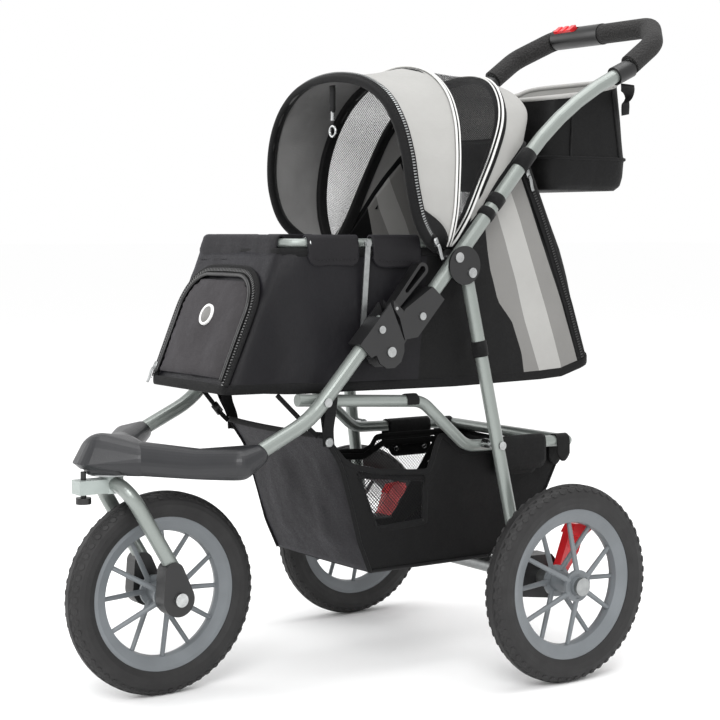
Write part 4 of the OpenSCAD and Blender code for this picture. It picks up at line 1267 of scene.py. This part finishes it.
for side, n in SIDES:
    x = side * .1345
    loop = [(x, -.158, .366), (x + side * .001, -.160, .385), (side * .140, -.166, .408),
            (side * .1405, -.170, .436),
            (side * .150, -.171, .4478), (side * .1605, -.170, .437), (side * .152, -.166, .414),
            (side * .1375, -.160, .388), (side * .1368, -.158, .366)]
    turn = np.interp(np.arange(70), (0, 22, 36, 48, 69), (0, .2, 1.4, 2.6, 3.1))
    facing = np.array([(side * math.cos(a), 0, math.sin(a)) for a in turn])
    on_basket(strip(n + "_corner_loop", curve(loop, 70), facing, .019, .0016))
    on_basket(disc(n + "_eyelet", (x + side * .0032, -.158, .371), (side, 0, 0), (0, 1, 0),
                   [(0.0030, .0006), (.0036, .0014), (.0060, .0016), (.0070, .0004), (.0070, -.003),
                    (.0030, -.003)], "dull_metal", 24))
    for k, (y0, y1, drop) in enumerate(((.150, .238, .052), (.262, .288, .040))):
        zc = float(np.interp(y0, (.085, .290), (.350, .345)))
        rows = []
        for a, b in [(.0100, -drop), (.0104, -drop * .6), (.0102, -.012), (.0100, 0), (.0075, .0075),
                     (0, .0106), (-.0075, .0075),
                     (-.0100, 0), (-.0104, -.012), (-.0104, -drop * .8)]:
            row = []
            for y in np.linspace(y0, y1, 17):
                d = min(y - y0, y1 - y)
                lift = .012 * max(0, 1 - d / .012) ** 2 if b < -.012 else 0
                row.append((side * (.150 - a), y, zc + b + lift))
            rows.append(row)
        g = np.array([curve(c, 25) for c in np.array(rows).transpose(1, 0, 2)]).transpose(1, 0, 2)
        o = sheet_object(n + "_rail_flap_" + "ab"[k], g, ["side_cloth"], thick=.0018, offset=0.0)
        on_basket(o)
        if k == 0:
            for i, y in enumerate((y0 + .014, y1 - .014)):
                on_basket(disc(n + "_snap_%d" % i, (side * (.150 - .0113), y, zc - drop + .014),
                               (-side, 0, 0), (0, 1, 0),
                               [(0, .0022), (.0030, .0020), (.0048, .0010), (.0050, -.001),
                                (0.001, -.001)], "metal", 20))
    tie = [(side * .128, -.172, .3795), (side * .1265, -.186, .392), (side * .121, -.208, .415),
           (side * .115, -.234, .4425)]
    o = strip(n + "_cabin_tie", curve(tie, 40), (side, -.3, .3), .0075, .0018)
    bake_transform(o)
    o = sweep(n + "_tie_buckle", [(side * .1262, -.1875, .3935), (side * .1225, -.2005, .407)],
              round_outline(.0062, .0026, 12, 4), "smooth_plastic", up=(side, -.3, .3))
    on_basket(o)
    y = -.022
    rows = [(side * (.150 + .0102 * math.cos(a)), y, .4256 + .0102 * math.sin(a))
            for a in np.linspace(-.5, math.pi + .5, 30)]
    o = sweep(n + "_rail_loop", rows, round_outline(.0010, .011, 12, 4), "tape", up=(0, 1, 0))
    on_basket(o)

# ------------------------------------------------------------------ rear bag

BAG_MIDDLE = .356                                        # halfway from the bag's front to its back
SQUARE = 6.5                                             # how square the bag's outline is

BAG = [(.7445, .268, .436, .118), (.752, .2655, .4445, .1235), (.768, .264, .4485, .1262),
       (.790, .264, .4502, .1270), (.7955, .2635, .4515, .1278),
       (.801, .2645, .4492, .1268), (.830, .265, .4455, .1262), (.862, .266, .4412, .1258),
       (.885, .2675, .4375, .1256), (.915, .268, .4325, .1254)]


def bag_ring(z, f, r, w, shrink, n=96):
    """One level of the bag, from the front middle round by +X."""
    c = (f + r) / 2
    hy, hx = (r - f) / 2 - shrink, w - shrink
    out = []
    for t in np.arange(n) * 2 * math.pi / n - math.pi / 2:
        cx, sy = math.cos(t), math.sin(t)
        rad = (abs(cx) ** SQUARE + abs(sy) ** SQUARE) ** (-1 / SQUARE)
        out.append((hx * cx * rad, c + hy * sy * rad, z))
    return out


def bag_rim(y):
    """Height of the bag's open edge: low at the front and sides, high at the back."""
    back = np.clip((y - .415) / .02, 0, 1)
    return np.interp(y, (.26, .34, .42), (.887, .897, .915)) + back * .010


levels = [np.interp(np.linspace(0, 1, 34), np.linspace(0, 1, 10), [b[k] for b in BAG]) for k in range(4)]
g = np.array([bag_ring(z, f, r, w, 0) for z, f, r, w in zip(*levels)])
rim = np.array([bag_rim(p[1]) for p in g[-1]])
for c in range(g.shape[1]):
    low = .790
    for r in range(g.shape[0]):
        z = g[r, c, 2]
        if z > low:
            g[r, c, 2] = low + (z - low) * (rim[c] - low) / (.915 - low)
g = np.clip(g, None, (1, 1, .9245))
g = crease(g[:, ::-1], 21.0, lambda t, q: -.0016 * min(1, bulge(t)) if t > .05 else 0)
g = g[:, ::-1]
out_shell = sheet_object("o", g, ["side_cloth", "light_cloth", "tape"], closed=True)
inner_g = g.copy()
inner_g[..., 0] *= .965
inner_g[..., 1] = BAG_MIDDLE + (inner_g[..., 1] - BAG_MIDDLE) * .955
inner_g[:, :, 2] = np.maximum(inner_g[:, :, 2], .7490)
in_shell = sheet_object("i", inner_g[:, ::-1], ["side_cloth", "light_cloth", "tape"], lambda r, c: 1,
                        closed=True)
floors = []
for z, ring, flip in ((.7445, g[0], True), (.7490, inner_g[0], False)):
    n = len(ring)
    verts = list(ring) + [np.array((0, .352, z - .001))]
    faces = [(i, (i + 1) % n, n) for i in range(n)]
    floors.append(mesh_object("f", verts, [q[::-1] for q in faces] if flip else faces,
                              ["side_cloth" if flip else "light_cloth"]))
bag = join("bag_shell", [out_shell, in_shell] + floors)
face_out(bag, merge=0.0002)
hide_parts("rear_bag")
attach(bag, "upper_frame")
edge = (g[-1] + inner_g[-1]) / 2
roll = sweep("bag_rim_roll", even(np.vstack([edge, edge[:1]]), 160)[:-1] + (0, 0, .0005),
             round_outline(.0052, .0040, 12), "light_cloth", up=(0, 0, 1), closed=True)
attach(roll, "upper_frame")
bag_parts = []
ring = np.array(bag_ring(.7955, .2630, .4522, .1284, 0, 160))
bag_parts.append(sweep("bag_seam_low", ring, round_outline(.0016, .0026, 8), "tape", up=(0, 0, 1),
                       closed=True))


def bag_seam(x_of, y_of, zs):
    pts = []
    for z in zs:
        f, r, w = (float(np.interp(z, [b[0] for b in BAG], [b[k] for b in BAG])) for k in (1, 2, 3))
        c, hy = (f + r) / 2, (r - f) / 2
        if y_of is not None:
            y = y_of(z)
            x = w * (1 - abs((y - c) / hy) ** SQUARE) ** (1 / SQUARE) + .0010
            pts.append((x, y, z))
        else:
            x = x_of(z)
            y = c + hy * (1 - abs(x / w) ** SQUARE) ** (1 / SQUARE) + .0010
            pts.append((x, y, z))
    return pts


for side, n in SIDES:
    for k, (ya, yb, top) in enumerate(((.318, .312, .890), (.404, .421, .905))):
        pts = np.array(bag_seam(None, lambda z: float(np.interp(z, (.795, .90), (yb, ya))),
                                np.linspace(.797, top, 30))) * (side, 1, 1)
        bag_parts.append(sweep(n + "_bag_seam_%d" % k, pts, round_outline(.0018, .0011, 8), "tape",
                               up=(side, 0, 0)))
    # strap that hangs the bag from the collar
    s0 = [(side * .1262, .432, .868), (side * .131, .428, .893), (side * .152, .412, .905),
          (side * .166, .398, .9125)]
    ups = [(side, .2, .2), (side, .1, .5), (.2 * side, 0, 1), (.2 * side, 0, 1)]
    bag_parts.append(sweep(n + "_bag_hanger", curve(s0, 26), round_outline(.011, .0012, 12, 4), "tape",
                           up=curve(ups, 26)))
for x in np.linspace(-.06, .06, 2):
    pts = bag_seam(lambda z, x=x: float(x * (1 + (z - .8) * 1.2)), None, np.linspace(.798, .918, 30))
    bag_parts.append(sweep("bag_back_seam_%d" % (x > 0), pts, round_outline(.0018, .0011, 8), "tape",
                           up=(0, 1, 0)))
for x in bag_parts:
    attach(x, "upper_frame")

# ------------------------------------------------------------------ straps, zips and the tether

def cuff(name, a, b, radius, thick, body):
    """A strap wrapped round a tube from a to b."""
    a, b = np.asarray(a, float), np.asarray(b, float)
    d = unit_rows(b - a)
    side = unit_rows(np.cross(d, (1.0, .1, 0)))
    other = np.cross(d, side)
    length = np.linalg.norm(b - a)
    prof = [(radius, 0), (radius + thick, .0006), (radius + thick + .0005, length / 2),
            (radius + thick, length - .0006), (radius, length)]
    verts = []
    for r, h in prof:
        for k in range(40):
            t = k * 2 * math.pi / 40
            rr = r + (thick * .8 if 3 < k < 20 and r > radius else 0) + .0005 * math.sin(3 * t + h * 90)
            verts.append(a + d * h + (side * math.cos(t) + other * math.sin(t)) * rr)
    m = len(prof)
    faces = [(i * 40 + k, i * 40 + (k + 1) % 40, ((i + 1) % m) * 40 + (k + 1) % 40, ((i + 1) % m) * 40 + k)
             for i in range(m) for k in range(40)]
    o = face_out(mesh_object(name, verts, faces, ["tape"]))
    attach(o, body)
    return o


TUBE_U = unit_rows(np.array((0, .2965, .335)))
TUBE_A = np.array((0, -.038, .542))
for side, n in SIDES:
    for k, (y, w) in enumerate(((.178, .034), (.122, .020), (.105, .015))):
        c = TUBE_A + TUBE_U * ((y + .038) / TUBE_U[1]) + np.array((side * .172, 0, 0))
        cuff("%s_tube_strap_%d" % (n, k), c - TUBE_U * w / 2, c + TUBE_U * w / 2, .0112, .0013,
             "upper_frame")
        # its tail goes to the seam of the side cloth
        a = c + np.array((-side * .011, .004, -.001))
        e = np.array((side * .1520, c[1] + .012, c[2] - .002))
        o = sweep("%s_strap_tail_%d" % (n, k), [a, (a + e) / 2 + (0, 0, -.0008), e],
                  round_outline(.0009, w * .4, 12, 4), "tape", up=TUBE_U)
        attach(o, "upper_frame")

for side, n in SIDES:
    co = positions(nodes["leg_" + n])
    axis = np.linalg.svd(co - co.mean(0), full_matrices=False)[2][0]
    axis *= np.sign(axis[2])
    mid = (co.min(0) + co.max(0)) / 2
    t = (.501 - mid[2]) / axis[2]
    c = mid + axis * t
    cuff(n + "_leg_strap", c - axis * .012, c + axis * .012, .0103, .0014, "rear_legs")

# zip in the dark border behind the stripes
for side, n in SIDES:
    z = np.linspace(.478, .795, 80)
    low_y = np.interp(z, [p[0] for p in SEAMS[3]], [p[1] for p in SEAMS[3]])
    back = np.interp(z, (.473, .648, .806), (.336, .277, .197))
    y = low_y + (back - low_y) * .42
    x = np.where(z < .65, .1508, np.interp(z, (.65, .70, .79), (.1512, .1530, .1500)))
    line = np.stack([side * x, y, z], 1)
    flat_tape = sweep(n + "_zip_tape", line, round_outline(.0092, .0012, 12, 4), "tape", up=(side, 0, 0))
    teeth = zip_teeth(n + "_side_zip", line + (side * .0014, 0, 0), (side, 0, 0), width=.0052,
                      material="wire")
    for o in (flat_tape, teeth):
        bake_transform(o)
    zip_pull(n + "_side_pull", line[72] + (side * .003, 0, 0), (0, .35, -1), (side, 0, 0), "upper_frame")

# dark gusset between the canopy's front panel and the pivot, with its zip
for side, n in SIDES:
    hp, mp = curve(HOOP[:9] * (side, 1, 1), 81), curve(MIDDLE[:9] * (side, 1, 1), 81)
    rows = []
    for k in range(0, 26):
        a, b2 = hp[k], mp[k]
        o1, o2 = outward(a), outward(b2)
        rows.append([a + o1 * .0062 + (b2 + o2 * .0062 - a - o1 * .0062) * t
                     for t in np.linspace(0.04, .96 * (1 - (k / 25) ** 2.2) + .04, 11)])
    g = np.array(rows)
    if side < 0:
        g = g[:, ::-1]
    o = sheet_object(n + "_gusset", g, ["side_cloth"], thick=.0012, offset=1.0)
    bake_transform(o)
    blend_rows(o, (HOOP, MIDDLE))
zip_pull("hoop_pull", HOOP[1] + (.0105, .010, -.002), (0, .4, -1), (1, 0, 0), "canopy_front")
zip_pull("hoop_pull_far", HOOP[-2] + (-.0105, .010, -.002), (0, .4, -1), (-1, 0, 0), "canopy_front")

# small snap hook on the bare rim between two flaps
hook_at = np.array((.1262, -.1905, .660))
turns = [hook_at + np.array((math.cos(a) * .0105, 0, math.sin(a) * .0105 - .002))
         for a in np.linspace(-.6, math.pi + .9, 24)]
o = sweep("rim_hook", turns, round_outline(.0016, .0016, 8), "metal", up=(0, 1, 0))
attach(o, "cabin_rim")
o = disc("rim_hook_swivel", hook_at + (.009, 0, -.014), (0, 0, -1), (1, 0, 0),
         [(0, -.004), (.0030, -.004), (.0034, 0), (.0034, .006), (.0020, .009), (.0010, .009)], "metal", 16)
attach(o, "cabin_rim")

# ------------------------------------------------------------------ tyre blocks

def tread(name, node, body):
    """Lugs round a tyre's shoulders and crown."""
    lo_t, hi_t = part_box(node)
    c = (lo_t + hi_t) / 2
    R = (hi_t.z - lo_t.z) / 2
    w = (hi_t.x - lo_t.x) / 2
    count = 56
    verts, faces = [], []

    def block(angle, prof, size, turn):
        # prof: (x, radius) at the block's middle, and the direction it faces in the section
        (x, r), (nx, nr) = prof
        ca, sa = math.cos(angle), math.sin(angle)
        radial = np.array((0, ca, sa))
        along = np.array((0, -sa, ca))
        xx = np.array((1.0, 0, 0))
        normal = unit_rows(xx * nx + radial * nr)
        across = unit_rows(np.cross(along, normal))
        a2 = along * math.cos(turn) + across * math.sin(turn)
        c2 = -along * math.sin(turn) + across * math.cos(turn)
        mid = np.array((c.x, c.y, c.z)) + xx * x + radial * r
        base = len(verts)
        n = 6
        for h, s in ((-.0024, 1.0), (.0006, .96), (.0012, .78)):
            for k in range(n):
                t = (k + .5) * math.pi / 3
                verts.append(mid + normal * h + a2 * math.cos(t) * size[0] * s
                             + c2 * math.sin(t) * size[1] * s)
        for lv in range(2):
            for k in range(n):
                faces.append((base + lv * n + k, base + lv * n + (k + 1) % n,
                              base + (lv + 1) * n + (k + 1) % n, base + (lv + 1) * n + k))
        faces.append(tuple(base + 2 * n + k for k in range(n)))
        faces.append(tuple(base + k for k in range(n))[::-1])

    co = positions(nodes[node])
    rad = np.hypot(co[:, 1] - c.y, co[:, 2] - c.z)
    xs = np.abs(co[:, 0] - c.x)

    def surface(x):
        keep = np.abs(xs - x) < .0035
        return float(rad[keep].max()) if keep.any() else R

    for i in range(count):
        a = i * 2 * math.pi / count
        for s in (1, -1):
            half = math.pi / count if s < 0 else 0
            for x, size, nx, k in ((.45 * w, (.0062, .0036), .45, 0), (.80 * w, (.0058, .0040), 1.4, .5)):
                r = surface(x) - .0004
                block(a + half + k * 2 * math.pi / count, ((s * x, min(r, R - .0013)), (s * nx, 1.0)),
                      size, s * .25)
    o = face_out(mesh_object(name, verts, faces, ["tyre"], smooth=False))
    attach(o, body)


tread("front_tread", "front_tyre", "front_wheel")
tread("rear_tread_left", "rear_tyre_left", "rear_wheel_left")
tread("rear_tread_right", "rear_tyre_right", "rear_wheel_right")

# ------------------------------------------------------------------ finishes of the CAD nodes

web_line = np.array([(0, -.0610, .8995), (0, -.0612, .885), (0, -.0612, .870), (0, -.0610, .8585)])
web = sweep("leash_web", web_line, round_outline(.0068, .0020, 12, 4), "tape", up=(0, -1, 0))
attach(web, "leash")

FINISH = {
    "front_tube_left": "paint", "front_tube_right": "paint", "nose_fairing": "saddle",
    "swivel_plate": "dull_metal",
    "latch_base_left": "plastic", "latch_base_right": "plastic", "front_bolts": "metal",
    "rim_tube": "paint",
    "struts": "dull_metal", "fork_tube": "paint", "fork_crown": "crown", "fork_tip_left": "plastic",
    "fork_tip_right": "plastic",
    "front_axle": "metal", "lock_knob": "smooth_plastic", "front_tyre": "tyre", "front_rim": "rim",
    "lower_rail": "paint",
    "upper_tube_left": "paint", "upper_tube_right": "paint", "latch_top_left": "plastic",
    "latch_top_right": "plastic",
    "pivot_plate_left": "smooth_plastic", "pivot_plate_right": "smooth_plastic", "upper_bolts": "metal",
    "handlebar": "paint",
    "collars": "smooth_plastic", "grip_left": "foam", "grip_right": "foam", "console": "smooth_plastic",
    "trigger_left": "smooth_plastic", "trigger_right": "smooth_plastic", "slide_button": "red",
    "hoop": "wire",
    "bow_middle": "wire", "bow_rear": "wire", "leash_clip": "metal", "leg_left": "paint",
    "leg_right": "paint",
    "rear_axle": "dull_metal", "brake_boxes": "plastic", "leg_bolts": "metal", "brake_pedal_left": "red",
    "brake_pedal_right": "red", "rear_tyre_left": "tyre", "rear_rim_left": "rim",
    "rear_tyre_right": "tyre", "rear_rim_right": "rim",
}
for name, key in FINISH.items():
    dress(nodes[name], key)

# ------------------------------------------------------------------ stage

FLOOR = 70                                               # half its width, in metres
floor = mesh_object("studio_floor",
                    [(x * FLOOR, y * FLOOR, 0) for x, y in ((-1, -1), (1, -1), (1, 1), (-1, 1))],
                    [(0, 1, 2, 3)], ["white"], smooth=False)
fm = bpy.data.materials.new("floor_paper")
fm.use_nodes = True
fm.node_tree.nodes["Principled BSDF"].inputs["Base Color"].default_value = (.99, .99, .99, 1)
fm.node_tree.nodes["Principled BSDF"].inputs["Roughness"].default_value = 1
fm.node_tree.nodes["Principled BSDF"].inputs["Specular IOR Level"].default_value = 0
floor.data.materials[0] = fm
world = bpy.data.worlds.new("studio")
world.use_nodes = True
world.node_tree.nodes["Background"].inputs["Color"].default_value = (1, 1, 1, 1)
world.node_tree.nodes["Background"].inputs["Strength"].default_value = 1.0
scene.world = world


def area(name, at, to, size, power):
    l = bpy.data.lights.new(name, "AREA")
    l.shape = "RECTANGLE"
    l.size, l.size_y = size
    l.energy = power
    o = bpy.data.objects.new(name, l)
    scene.collection.objects.link(o)
    o.location = at
    o.rotation_euler = (Vector(to) - Vector(at)).to_track_quat("-Z", "Y").to_euler()


area("key", (2.6, -2.2, 2.6), (0, 0, .5), (1.8, 1.8), 85)
area("fill", (-2.4, -2.2, 1.6), (0, 0, .5), (2.0, 2.0), 25)
area("top", (0.2, 0.4, 3.2), (0, 0, .5), (2.4, 2.4), 45)

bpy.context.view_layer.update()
